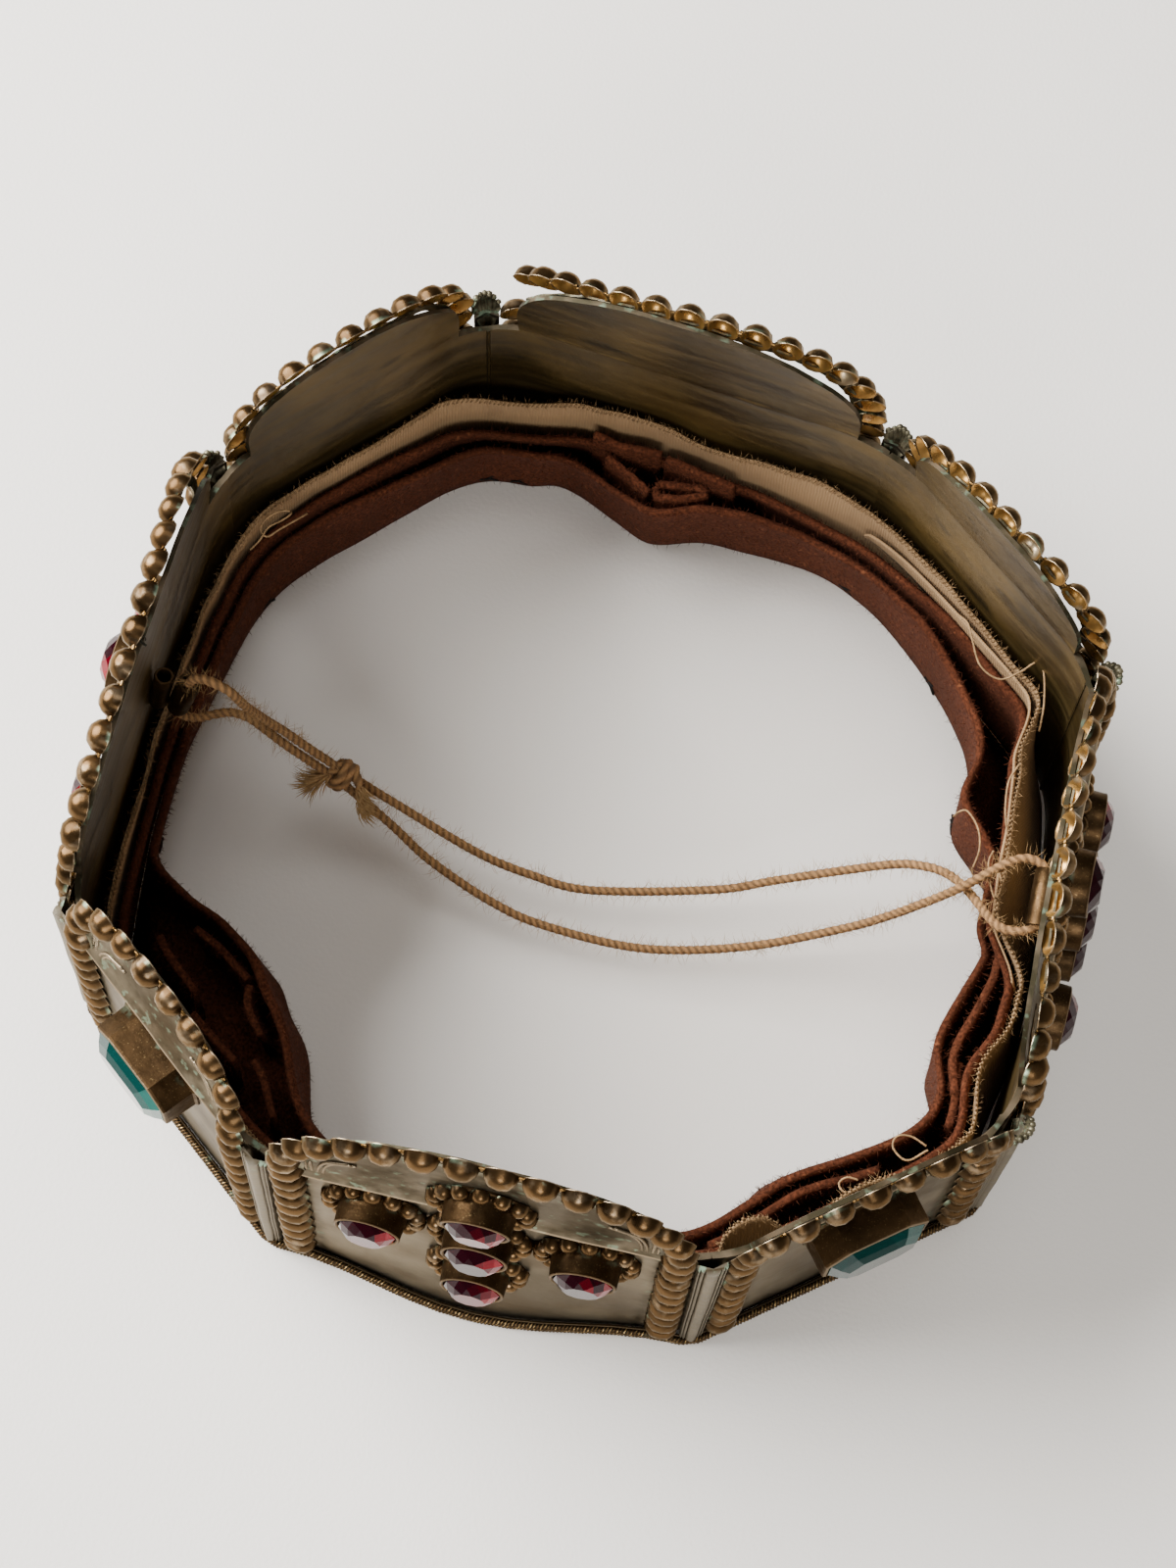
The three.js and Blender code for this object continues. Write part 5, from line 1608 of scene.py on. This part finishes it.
def build_moulding(sizes, colours):
    brass = rope_brass(colours)
    radius = sizes.rope_radius
    for name, z, w, turns in (("lower", 0.95, 1.55, 400.0), ("upper", 2.5, 1.4, -400.0)):
        made = rope_along(foot_route(w, z), f"base_rope_{name}", brass, True, Radius=radius, Lobes=3.0,
                          Depth=0.2, Turns=turns, Step=0.00045, Sides=12)
        finish_piece(made, "moulding_brass", *(["base_moulding"] if name == "lower" else []))
    sections = []
    for low, high in zip(foot_route(0.3, 0.15), foot_route(0.9, 0.15)):
        sections.append([low, high, Vector((high.x, high.y, 3.5)), Vector((low.x, low.y, 3.5))])
    points, faces, uvs = loft(sections, ring=True)
    made = make_mesh("base_band", points, faces, [brass], uvs=uvs)
    # Low on the ridge value, so the band takes the dark groove tone: painted shade behind the ropes.
    set_values(made, "ridge", [-0.5] * len(points))
    finish_piece(made, "moulding_brass")


# Lining
STATIONS = 324
CLOTH_ROWS = [0, 0.12, 0.26, 0.42, 0.58, 0.72, 0.83, 0.91, 0.965]

# Fibres on a square metre where each is thickest
FRAY_DENSITY, FELT_DENSITY, WAD_DENSITY, HAIR_DENSITY = 1.8e6, 1.15e6, 1.0e6, 1.1e6

# Scraps of a band that stand up and places where its edge sags: bearing and half width in degrees, rise,
# lean into the hollow, and how softly it sets in
Scrap = namedtuple("Scrap", "at half rise lean soft")
SCRAPS = {
    "linen_band": [Scrap(303, 4, 8, 5, 0.5), Scrap(318, 5, 4, 2, 0.5), Scrap(86, 7, -2, 0.4, 2),
                   Scrap(70, 9, 1.2, -0.4, 2)],
    "felt_outer": [Scrap(84, 24, -6, 0.8, 2), Scrap(112, 26, -4, 2.6, 2), Scrap(62, 18, -3, 2.2, 2)],
    "felt_inner": [Scrap(64, 18, -3, 2.4, 2), Scrap(114, 28, -3, 2.8, 2), Scrap(132, 18, -1, 0, 2)],
}

# What stands behind a layer, and the share of its height over which its foot goes back to it
BEHIND = {"felt_inner": "felt_outer", "felt_outer": "linen_band"}
FOOT_REACH = 0.3


def room_behind(name, bearing, z):
    """How far it is from a layer's outer face to what stands behind it."""
    if name in BEHIND:
        limit = layer_distance(BEHIND[name], bearing, z) - LAYERS[BEHIND[name]].thick
    else:
        limit = wall_distance(bearing, z, 0)
    return max(0.0, limit - layer_distance(name, bearing, z) - 0.3)


def cloth_sections(name, wave, ripple, round_edge):
    """Sections of a standing band of cloth, and how fuzzy each of its points is."""
    layer = LAYERS[name]
    sections, fuzz = [], []
    for k in range(STATIONS):
        bearing = 2 * math.pi * k / STATIONS
        c, s = math.cos(bearing), math.sin(bearing)
        top = layer.top + wave * noise.noise((c * 4.1, s * 4.1, len(name))) \
            + 0.35 * wave * noise.noise((c * 17, s * 17, len(name)))
        lean = 0.0
        for scrap in SCRAPS[name]:
            near = max(0.0, 1 - ((math.degrees(bearing) - scrap.at) / scrap.half) ** 2) ** scrap.soft
            top += scrap.rise * near
            lean += scrap.lean * near
        outer, inner = [], []
        for share in CLOTH_ROWS + [1.0]:
            z = layer.foot + (top - layer.foot) * share
            radius = layer_distance(name, bearing, min(z, layer.top)) - lean * share ** 3
            radius += ripple * noise.noise((c * 9, s * 9, z * 0.06 + len(name)))
            last = round_edge * (share == 1.0)
            foot = max(0.0, 1 - share / FOOT_REACH) ** 2 * room_behind(name, bearing, z)
            outer.append(polar(bearing, radius - last + foot, z))
            inner.append(polar(bearing, radius - layer.thick + last, z))
        low = [0.25] + [0.12] * (len(CLOTH_ROWS) - 1) + [1.0]
        sections.append(outer + inner[::-1])
        fuzz += low + low[::-1]
    return sections, fuzz


def sheet_size(sections):
    """Length and width of the flat strip that a band of sections is sewn from, in metres."""
    rows = len(sections[0]) // 2
    row = rows // 2
    around = sum((sections[(k + 1) % len(sections)][row] - sections[k][row]).length
                 for k in range(len(sections)))
    tall = sum((b - a).length for a, b in zip(sections[0][:rows], sections[0][1:rows]))
    return around * MM, tall * MM


def fibre_shape(name, tall, thick):
    points = []
    for z, radius, bend in ((0, thick, 0), (tall * 0.55, thick * 0.8, tall * 0.1)):
        for k in range(3):
            angle = 2 * math.pi * k / 3
            points.append(Vector((radius * math.cos(angle) + bend, radius * math.sin(angle), z)))
    points.append(Vector((tall * 0.35, 0, tall)))
    faces = [(0, 2, 1), (3, 4, 6), (4, 5, 6), (5, 3, 6)]
    for k in range(3):
        j = (k + 1) % 3
        faces.append((k, j, 3 + j, 3 + k))
    return make_shape(name, points, faces)


def add_fuzz(cloth, name, finish, fibre, density, seed, slot):
    made = run_tree(cloth, fuzz_tree, name, Fibre=fibre, Density=density, Seed=seed, Material=finish)
    return finish_piece(made, slot)


# Loose threads
THREADS = [
    [(71.8, 70, 48), (74.8, 66.9, 50.5), (76.6, 63.4, 50), (79.9, 57.8, 48.5), (85, 55.8, 48),
     (89.2, 58.2, 49.5), (92.3, 61, 50.5), (94.2, 59, 51), (95.9, 51.7, 49.5), (96.5, 46, 46)],
    [(89.1, -56.5, 46), (85.3, -59.6, 45), (81.9, -57.6, 44.5), (82.2, -54.8, 44), (85.3, -53.9, 43.5),
     (89, -55, 43)],
    [(76.5, -68.4, 47), (73.3, -69.9, 46.5), (71.7, -68.3, 46), (73.1, -66.5, 45.6), (75.6, -66.3, 45)],
    [(93.6, 37, 47), (92.6, 34.7, 49.5), (91.1, 30.1, 50), (91.6, 22.9, 50), (93.5, 18.5, 47.5)],
    [(82.1, 24.3, 36), (82.6, 24.3, 39.5), (84.4, 24.4, 41), (87.4, 20.7, 41.5), (88.7, 16.1, 41),
     (88.5, 12.3, 38)],
    [(91, 14, 47), (90, 10, 50), (91, 5, 51), (93, 2, 50), (94, 6, 48.5), (93, 10, 47)],
    [(-93.6, 44.2, 48), (-91.6, 46, 50.5), (-90.4, 49.4, 51.2), (-87.6, 52, 51.5), (-86.2, 54.6, 51.2),
     (-89, 54.2, 51), (-91.6, 51.6, 50.8), (-92.2, 48.8, 50.4), (-90.2, 47.2, 50.6), (-87.8, 49.6, 51),
     (-85.2, 53, 50.2), (-83.4, 56.6, 48)],
]


def build_linen(sizes, colours):
    cloth = linen_cloth(colours)
    thread = plain_thread("linen_thread", darker(colours.linen, 0.62))
    loose = plain_thread("linen_fray", colours.linen)
    sections, fuzz = cloth_sections("linen_band", wave=1.6, ripple=0.7, round_edge=0.2)
    points, faces, uvs = loft(sections, ring=True)
    band = make_mesh("linen", points, faces, [cloth], uvs=uvs)
    set_values(band, "fuzz", [1.0 if f == 1.0 else 0.0 for f in fuzz])
    finish_piece(band, "linen", "linen_band")
    fibre = fibre_shape("fibre", tall=1.6, thick=0.05)
    extras = [add_fuzz(band, "linen_fray", loose, fibre, FRAY_DENSITY, sizes.seed, "linen")]
    hem = build_hem(cloth)
    stitch = stitch_shape("stitch", tall=2.5, thick=0.28)
    seats = stitch_seats(sections, below=0.45, pitch=1.15)
    extras.append(finish_piece(set_on(seats, stitch, "linen_stitches", thread, 0.2, sizes.seed), "linen"))
    drop(fibre, stitch)
    for k, line in enumerate(THREADS):
        loop = rope_along(smooth_route(line), f"linen_thread_{k + 1}", loose, Radius=0.00026, Lobes=2.0,
                          Depth=0.1, Turns=500.0, Step=0.0006, Sides=6)
        extras.append(finish_piece(loop, "linen"))
    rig.sheet(band, flat=sheet_size(sections), held="hung", rests_on=["panel_front"], with_pieces=extras)
    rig.sheet(hem, flat=HEM_FLAT, held="folded", rests_on=["linen"])


def stitch_shape(name, tall, thick):
    points, faces = lathe([(0, -tall / 2), (thick, -tall * 0.38), (thick * 1.15, 0), (thick, tall * 0.38),
                           (0, tall / 2)], 6, Matrix.Rotation(math.pi / 2, 4, "Y"))
    return make_shape(name, points, faces)


def stitch_seats(sections, below, pitch):
    """Slanted stitches over the top edge, on its inner face."""
    rows = len(sections[0]) // 2
    seats, left = [], 0.0
    for k in range(len(sections)):
        here, after = sections[k], sections[(k + 1) % len(sections)]
        a, b = here[rows], after[rows]
        down = (here[rows + 2] - here[rows]).normalized()
        way = (b - a).normalized()
        inward = way.cross(down).normalized()
        inward = -inward if inward.dot(a.to_2d().to_3d()) > 0 else inward
        size = (b - a).length
        while left < size:
            spot = a + way * left + down * below + inward * 0.12
            seats.append(Seat(spot, inward, (way * 0.35 + down).normalized(), (1.0, 1.0, 1.0)))
            left += pitch
        left -= size
    return seats


HEM_START, HEM_END, HEM_STEPS = math.radians(-8), math.radians(62), 90
HEM_FLAT = (0.124, 0.0105)
HEM_FOOT, HEM_ENDS, HEM_SWELL, HEM_INSET, HEM_THICK = 36.5, 3.0, 7.2, 1.25, 0.6


def build_hem(cloth):
    """A second turn of linen inside the band at the back right."""
    sections = []
    for k in range(HEM_STEPS + 1):
        bearing = HEM_START + (HEM_END - HEM_START) * k / HEM_STEPS
        sway = noise.noise((bearing * 7, 3.3, 0))
        taper = math.sin(math.pi * k / HEM_STEPS) ** 0.4
        outer, inner = [], []
        for share in (0, 0.3, 0.6, 0.85, 1.0):
            z = HEM_FOOT + (HEM_ENDS + (HEM_SWELL + 0.8 * sway) * taper) * share
            radius = layer_distance("linen_band", bearing, z) - HEM_INSET - (0.7 + 0.5 * sway) * share
            outer.append(polar(bearing, radius, z))
            inner.append(polar(bearing, radius - HEM_THICK, z))
        sections.append(outer + inner[::-1])
    points, faces, uvs = loft(sections)
    made = make_mesh("linen_hem", points, faces, [cloth], uvs=uvs)
    return finish_piece(made, "linen")


def build_felts(sizes, colours):
    cloth = felt_cloth(colours)
    wool = plain_thread("felt_wool", colours.felt, 1.0)
    fibre = fibre_shape("fibre", tall=1.4, thick=0.06)
    for name, wave in (("felt_outer", 0.9), ("felt_inner", 1.3)):
        sections, fuzz = cloth_sections(name, wave, ripple=0.35, round_edge=0.7)
        points, faces, uvs = loft(sections, ring=True)
        band = make_mesh(f"{name}_layer", points, faces, [cloth], uvs=uvs)
        set_values(band, "fuzz", fuzz)
        finish_piece(band, "felt", name)
        fluff = add_fuzz(band, f"{name}_fuzz", wool, fibre, FELT_DENSITY, sizes.seed, "felt")
        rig.sheet(band, flat=sheet_size(sections), held="hung", rests_on=["linen"], with_pieces=[fluff])
    build_wads(cloth, wool, fibre, sizes.seed)
    drop(fibre)
    build_tacks()


# Bearings of the black tacking stitches at the felt's foot, in degrees, and their height
TACKS = [21, 43, 62, 113, 117, 153, 191, 262, 328]
TACK_HEIGHT = 7.0


def build_tacks():
    black = plain_thread("black_thread", srgb(30, 27, 24))
    stitch = stitch_shape("tack", tall=3.4, thick=0.3)
    seats = []
    for degrees in TACKS:
        for k, (turn, rise) in enumerate(((-0.9, 0.0), (0.9, 0.6), (0.0, 1.6))):
            bearing = math.radians(degrees + turn * 0.6)
            z = TACK_HEIGHT + rise
            inner = layer_distance("felt_inner", bearing, z) - LAYERS["felt_inner"].thick - 0.15
            way = Vector((-math.sin(bearing), math.cos(bearing), 0.9 - 0.8 * k)).normalized()
            seats.append(Seat(polar(bearing, inner, z), -polar(bearing, 1, 0), way, (1.0, 1.0, 1.0)))
    finish_piece(set_on(seats, stitch, "felt_tacks", black, 0.25), "felt")
    drop(stitch)


# Folded felt in the pockets, one row for each strip: its height and its line, as bearings in degrees and
# shares of the way from the inner felt to the outer one
Strip = namedtuple("Strip", "wad top line")
STRIPS = [
    Strip("back", 41.5, [(103, 0.9), (100, 0.84), (96.5, 0.88), (93.2, 0.97)]),
    Strip("back", 40.5, [(92.4, 0.97), (89, 0.86), (85.5, 0.74), (81.5, 0.6)]),
    Strip("back", 38, [(101, 0.4), (98.5, 0.26), (96, 0.16), (94.2, 0.1)]),
    Strip("back", 37, [(93.3, 0.3), (92.6, 0.12), (89.5, 0.06), (86.2, 0.12), (85.6, 0.28), (86.6, 0.44),
                       (89.5, 0.46), (92.3, 0.44), (93.1, 0.36)]),
    Strip("front_left", 35, [(208.5, 0.66), (213, 0.63), (217, 0.61)]),
    Strip("front_left", 33, [(219.5, 0.76), (223.5, 0.72), (228, 0.66)]),
    Strip("front_left", 34, [(208.5, 0.2), (212, 0.12), (215.5, 0.1), (218.3, 0.04)]),
    Strip("front_left", 34, [(219.4, 0.04), (221, 0.12), (223.5, 0.17), (227, 0.18)]),
    Strip("front_left", 31, [(229, 0.42), (233, 0.4), (237, 0.5)]),
    Strip("front_right", 36, [(299, 0.5), (303, 0.34), (308, 0.27), (313, 0.25), (318, 0.3), (323, 0.45)]),
    Strip("right", 38.5, [(357, 0.45), (352, 0.34), (347, 0.26), (342, 0.22), (339, 0.24), (336.5, 0.3)]),
    Strip("right", 37.5, [(340.5, 0.62), (338, 0.58), (335.5, 0.6), (333, 0.7)]),
]
STRIP_FOOT, STRIP_THICK, POCKET_TOP = 6.0, 2.0, 34.0


def strip_line(strip, z):
    """The strip's middle line at a height, kept inside its pocket."""
    line = []
    level = min(z, POCKET_TOP)
    for degrees, share, _ in smooth_route([(*row, 0) for row in strip.line], 7):
        bearing = math.radians(degrees)
        far = layer_distance("felt_outer", bearing, level) - LAYERS["felt_outer"].thick - 1.2
        near = layer_distance("felt_inner", bearing, level) + 1.2
        line.append(polar(bearing, near + max(far - near, 0.2) * share, z))
    return line


def build_wads(cloth, wool, fibre, seed):
    for name in dict.fromkeys(strip.wad for strip in STRIPS):
        parts, fuzz, around, tall = [], [], 0.0, []
        for strip in STRIPS:
            if strip.wad != name:
                continue
            sections, more = ribbon(strip, seed)
            points, faces, _ = loft(sections)
            parts.append((points, faces))
            fuzz += more
            line = strip_line(strip, POCKET_TOP)
            around += sum((b - a).length for a, b in zip(line, line[1:]))
            tall.append(strip.top - STRIP_FOOT)
        points, faces = join_parts(parts)
        made = make_mesh(f"wad_{name}", points, faces, [cloth])
        set_values(made, "fuzz", fuzz)
        finish_piece(made, "felt", f"felt_wad_{name}")
        fluff = add_fuzz(made, f"wad_{name}_fuzz", wool, fibre, WAD_DENSITY, seed, "felt")
        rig.sheet(made, flat=(around * MM, sum(tall) / len(tall) * MM), held="folded",
                 rests_on=["felt_outer_layer"], with_pieces=[fluff])


def ribbon(strip, seed):
    """Sections of a strip of felt that stands on edge along its line, and how fuzzy its points are."""
    levels = [(STRIP_FOOT, 1.0), (strip.top * 0.5, 1.0), (strip.top - 0.9, 1.0), (strip.top - 0.25, 0.8),
              (strip.top, 0.35)]
    lines = [(strip_line(strip, z), share) for z, share in levels]
    last = len(lines[0][0]) - 1
    sections, fuzz = [], []
    for k in range(last + 1):
        rise = noise.noise((k * 0.22, seed, strip.top))
        left, right = [], []
        for line, share in lines:
            way = (line[min(k + 1, last)] - line[max(k - 1, 0)]).normalized()
            side = Vector((-way.y, way.x, 0)) * share * STRIP_THICK / 2
            point = line[k] + Vector((0, 0, rise * (line[k].z > STRIP_FOOT)))
            left.append(point + side)
            right.append(point - side)
        sections.append(left + right[::-1])
        fuzz += [0.1, 0.1, 0.6, 1.0, 1.0, 1.0, 1.0, 0.6, 0.1, 0.1]
    return sections, fuzz


# Twine
def build_twine(sizes, colours):
    jute = jute_twine(colours)
    bare = plain_thread("jute_fibre", srgb(190, 152, 104))
    fibre = fibre_shape("fibre", tall=2.8, thick=0.045)
    made = {}
    for name, hand_laid in (("upper", TWINE_UPPER), ("lower", TWINE_LOWER)):
        route = smooth_route(hand_laid)
        strand = rope_along(route, f"strand_{name}", jute, Radius=sizes.twine_radius, Lobes=2.0,
                            Depth=0.07, Turns=280.0, Step=0.0005, Sides=12)
        finish_piece(strand, "jute", f"twine_{name}")
        set_values(strand, "fuzz", [1.0] * len(strand.data.vertices))
        hairs = add_fuzz(strand, f"strand_{name}_hairs", bare, fibre, HAIR_DENSITY, sizes.seed, "jute")
        made[name] = strand, [metres(p) for p in route], hairs
    knot, tufts = build_knot(sizes, jute, bare)
    drop(fibre)
    for name, (strand, path, hairs) in made.items():
        extras = [hairs, knot, tufts] if name == "upper" else [hairs]
        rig.cord(strand, exit=path[0], length=TWINE_LENGTH[name], diameter=2 * sizes.twine_radius * 1.1,
                far_end="object", stiffness="limp", lay="hanging", path=path, with_pieces=extras)


KNOT_RADIUS, KNOT_WIDTH, KNOT_STEPS, TUFT_FIBRES = 3.1, 3.4, 32, 150
KNOT_TAILS = [Vector((-9, -7, -5)), Vector((5, -10, -3))]


def build_knot(sizes, jute, bare):
    """Two turns round both strands, and two thick frayed ends."""
    across = KNOT_ALONG.orthogonal().normalized()
    other = KNOT_ALONG.cross(across)
    turns = []
    for k in range(KNOT_STEPS + 1):
        angle = 2 * math.pi * 2 * k / KNOT_STEPS
        reach = across * math.cos(angle) + other * math.sin(angle)
        turns.append(KNOT_AT + reach * KNOT_RADIUS + KNOT_ALONG * (k / KNOT_STEPS - 0.5) * KNOT_WIDTH)
    start = [turns[0] + KNOT_TAILS[0] * t for t in (0.72, 0.4, 0.15)]
    end = [turns[-1] + KNOT_TAILS[1] * t for t in (0.15, 0.4, 0.72)]
    route = smooth_route(start + turns + end, 3)
    knot = rope_along(route, "knot", jute, Radius=sizes.twine_radius, Lobes=2.0, Depth=0.16, Turns=150.0,
                      Step=0.0006, Sides=10)
    finish_piece(knot, "jute", "twine_knot")
    chance = random.Random(sizes.seed)
    seats = []
    for spot, way in ((turns[0], KNOT_TAILS[0]), (turns[-1], KNOT_TAILS[1])):
        for _ in range(TUFT_FIBRES):
            stray = Vector([chance.uniform(-1, 1) for _ in range(3)])
            along = chance.uniform(0.35, 0.8)
            at = spot + way * along + stray * (0.7 + 0.7 * along)
            aim = (way.normalized() + stray * 0.3).normalized()
            seats.append(Seat(at, aim, across, (1.5, 1.5, chance.uniform(0.7, 1.1))))
    tuft = fibre_shape("tuft", tall=4.6, thick=0.12)
    tufts = set_on(seats, tuft, "knot_tufts", bare, 0.1, sizes.seed)
    finish_piece(tufts, "jute")
    drop(tuft)
    return knot, tufts


# Stage
EYE = Vector((21.16, -157.80, 507.64)) * MM
AIM = Vector((-3.67, 6.57, 44.1)) * MM
LENS = 49.06
ROLL = math.radians(5.365)
SENSOR_WIDTH = 36.0
FLOOR_REACH = 3.0
SKY_COLOUR, SKY_STRENGTH = (1.0, 0.945, 0.875, 1.0), 0.25

# Round lamps that face the crown: place and width in metres, and power in watts
Lamp = namedtuple("Lamp", "name at size power")
LAMPS = [
    Lamp("key", (-1.13, 0.22, 0.95), 1.4, 98.0), Lamp("front", (0.1, -1.1, 0.8), 0.6, 12.0),
    Lamp("top", (0.05, 0.2, 1.5), 0.7, 5.0),
]
LAMPS_AIM = Vector((0, 0, 0.05))


def build_stage(sizes, colours):
    mesh = bpy.data.meshes.new("floor")
    corners = [(x * FLOOR_REACH, y * FLOOR_REACH, 0) for x, y in ((-1, -1), (1, -1), (1, 1), (-1, 1))]
    mesh.from_pydata(corners, [], [(0, 1, 2, 3)])
    f = Finish("floor_paper", Roughness=0.6)
    mesh.materials.append(f.done(f.blend(f.noise(12, 3), srgb(237, 232, 225), srgb(233, 227, 219)),
                                 height=f.noise(900, 2), depth=0.0001))
    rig.stage(make_object("floor", mesh))
    for lamp in LAMPS:
        add_lamp(lamp)
    world = bpy.context.scene.world or bpy.data.worlds.new("studio")
    bpy.context.scene.world = world
    world.use_nodes = True
    sky = world.node_tree.nodes["Background"]
    sky.inputs["Color"].default_value = SKY_COLOUR
    sky.inputs["Strength"].default_value = SKY_STRENGTH
    camera = make_object("camera", bpy.data.cameras.new("camera"))
    camera.data.lens = LENS
    camera.data.sensor_width = SENSOR_WIDTH
    camera.data.clip_start = 0.01
    back = (EYE - AIM).normalized()
    right = Vector((0, 0, 1)).cross(back).normalized()
    up = back.cross(right)
    side = right * math.cos(ROLL) + up * math.sin(ROLL)
    head = up * math.cos(ROLL) - right * math.sin(ROLL)
    camera.matrix_world = Matrix.Translation(EYE) @ Matrix((side, head, back)).transposed().to_4x4()
    bpy.context.scene.camera = camera


def add_lamp(lamp):
    data = bpy.data.lights.new(lamp.name, "AREA")
    data.shape, data.size, data.energy = "DISK", lamp.size, lamp.power
    thing = make_object(lamp.name, data)
    thing.location = lamp.at
    thing.rotation_mode = "QUATERNION"
    thing.rotation_quaternion = (Vector(lamp.at) - LAMPS_AIM).to_track_quat("Z", "Y")


# Operators
class CrownOperator:
    """Runs one builder with the scene's sizes and colours."""
    bl_options = {"REGISTER", "UNDO"}

    def execute(self, context):
        self.build(context.scene.crown_sizes, context.scene.crown_colours)
        return {"FINISHED"}


class CROWN_OT_stage(CrownOperator, bpy.types.Operator):
    """Adds the floor, the lights and the camera"""
    bl_idname, bl_label = "crown.stage", "Stage"
    build = staticmethod(build_stage)


class CROWN_OT_twine(CrownOperator, bpy.types.Operator):
    """Lays the loop of twine and ties its knot"""
    bl_idname, bl_label = "crown.twine", "Twine"
    build = staticmethod(build_twine)


class CROWN_OT_plates(CrownOperator, bpy.types.Operator):
    """Bends the eight arched plates and their corner folds"""
    bl_idname, bl_label = "crown.plates", "Plates"
    build = staticmethod(build_plates)


class CROWN_OT_tubes(CrownOperator, bpy.types.Operator):
    """Adds the socket tubes inside the left and right plates"""
    bl_idname, bl_label = "crown.tubes", "Socket tubes"
    build = staticmethod(build_tubes)


class CROWN_OT_borders(CrownOperator, bpy.types.Operator):
    """Sets the hollow beads along every plate's border"""
    bl_idname, bl_label = "crown.borders", "Bead borders"
    build = staticmethod(build_borders)


class CROWN_OT_collets(CrownOperator, bpy.types.Operator):
    """Turns the collets and sets the rosettes round them"""
    bl_idname, bl_label = "crown.collets", "Collets"
    build = staticmethod(build_collets)


class CROWN_OT_red_stones(CrownOperator, bpy.types.Operator):
    """Cuts the round red stones"""
    bl_idname, bl_label = "crown.red_stones", "Red stones"
    build = staticmethod(build_red_stones)


class CROWN_OT_green_stones(CrownOperator, bpy.types.Operator):
    """Cuts the green cut-corner stones"""
    bl_idname, bl_label = "crown.green_stones", "Green stones"
    build = staticmethod(build_green_stones)


class CROWN_OT_posts(CrownOperator, bpy.types.Operator):
    """Adds the ribbed corner posts and their leaf tips"""
    bl_idname, bl_label = "crown.posts", "Corner posts"
    build = staticmethod(build_posts)


class CROWN_OT_moulding(CrownOperator, bpy.types.Operator):
    """Runs the rope moulding round the base"""
    bl_idname, bl_label = "crown.moulding", "Base moulding"
    build = staticmethod(build_moulding)


class CROWN_OT_linen(CrownOperator, bpy.types.Operator):
    """Hangs the linen band with its stitches and frayed edge"""
    bl_idname, bl_label = "crown.linen", "Linen band"
    build = staticmethod(build_linen)


class CROWN_OT_felts(CrownOperator, bpy.types.Operator):
    """Hangs the two felt layers and folds the wads into their pockets"""
    bl_idname, bl_label = "crown.felts", "Felt"
    build = staticmethod(build_felts)


OPERATORS = [
    CROWN_OT_stage, CROWN_OT_twine, CROWN_OT_plates, CROWN_OT_tubes, CROWN_OT_borders, CROWN_OT_collets,
    CROWN_OT_red_stones, CROWN_OT_green_stones, CROWN_OT_posts, CROWN_OT_moulding, CROWN_OT_linen,
    CROWN_OT_felts,
]


class CROWN_PT_panel(bpy.types.Panel):
    """Lists the crown's sizes, colours and pieces"""
    bl_label, bl_space_type, bl_region_type, bl_category = "Stage crown", "VIEW_3D", "UI", "Crown"

    def draw(self, context):
        for group in (context.scene.crown_sizes, context.scene.crown_colours):
            for key in group.bl_rna.properties.keys():
                if key not in ("rna_type", "name"):
                    self.layout.prop(group, key)
        for operator in OPERATORS:
            self.layout.operator(operator.bl_idname)


CLASSES = [CrownSizes, CrownColours, *OPERATORS, CROWN_PT_panel]


def register():
    for kind in CLASSES:
        bpy.utils.register_class(kind)
    bpy.types.Scene.crown_sizes = bpy.props.PointerProperty(type=CrownSizes)
    bpy.types.Scene.crown_colours = bpy.props.PointerProperty(type=CrownColours)


def unregister():
    del bpy.types.Scene.crown_colours
    del bpy.types.Scene.crown_sizes
    for kind in reversed(CLASSES):
        bpy.utils.unregister_class(kind)


def main():
    register()
    for operator in OPERATORS:
        group, name = operator.bl_idname.split(".")
        getattr(getattr(bpy.ops, group), name)()
    boxes = {"cad": CAD_BOX, "visual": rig.bounds()}
    with open("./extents.json", "w") as out:
        json.dump({key: [list(corner) for corner in box] for key, box in boxes.items()}, out)


if __name__ == "__main__":
    main()
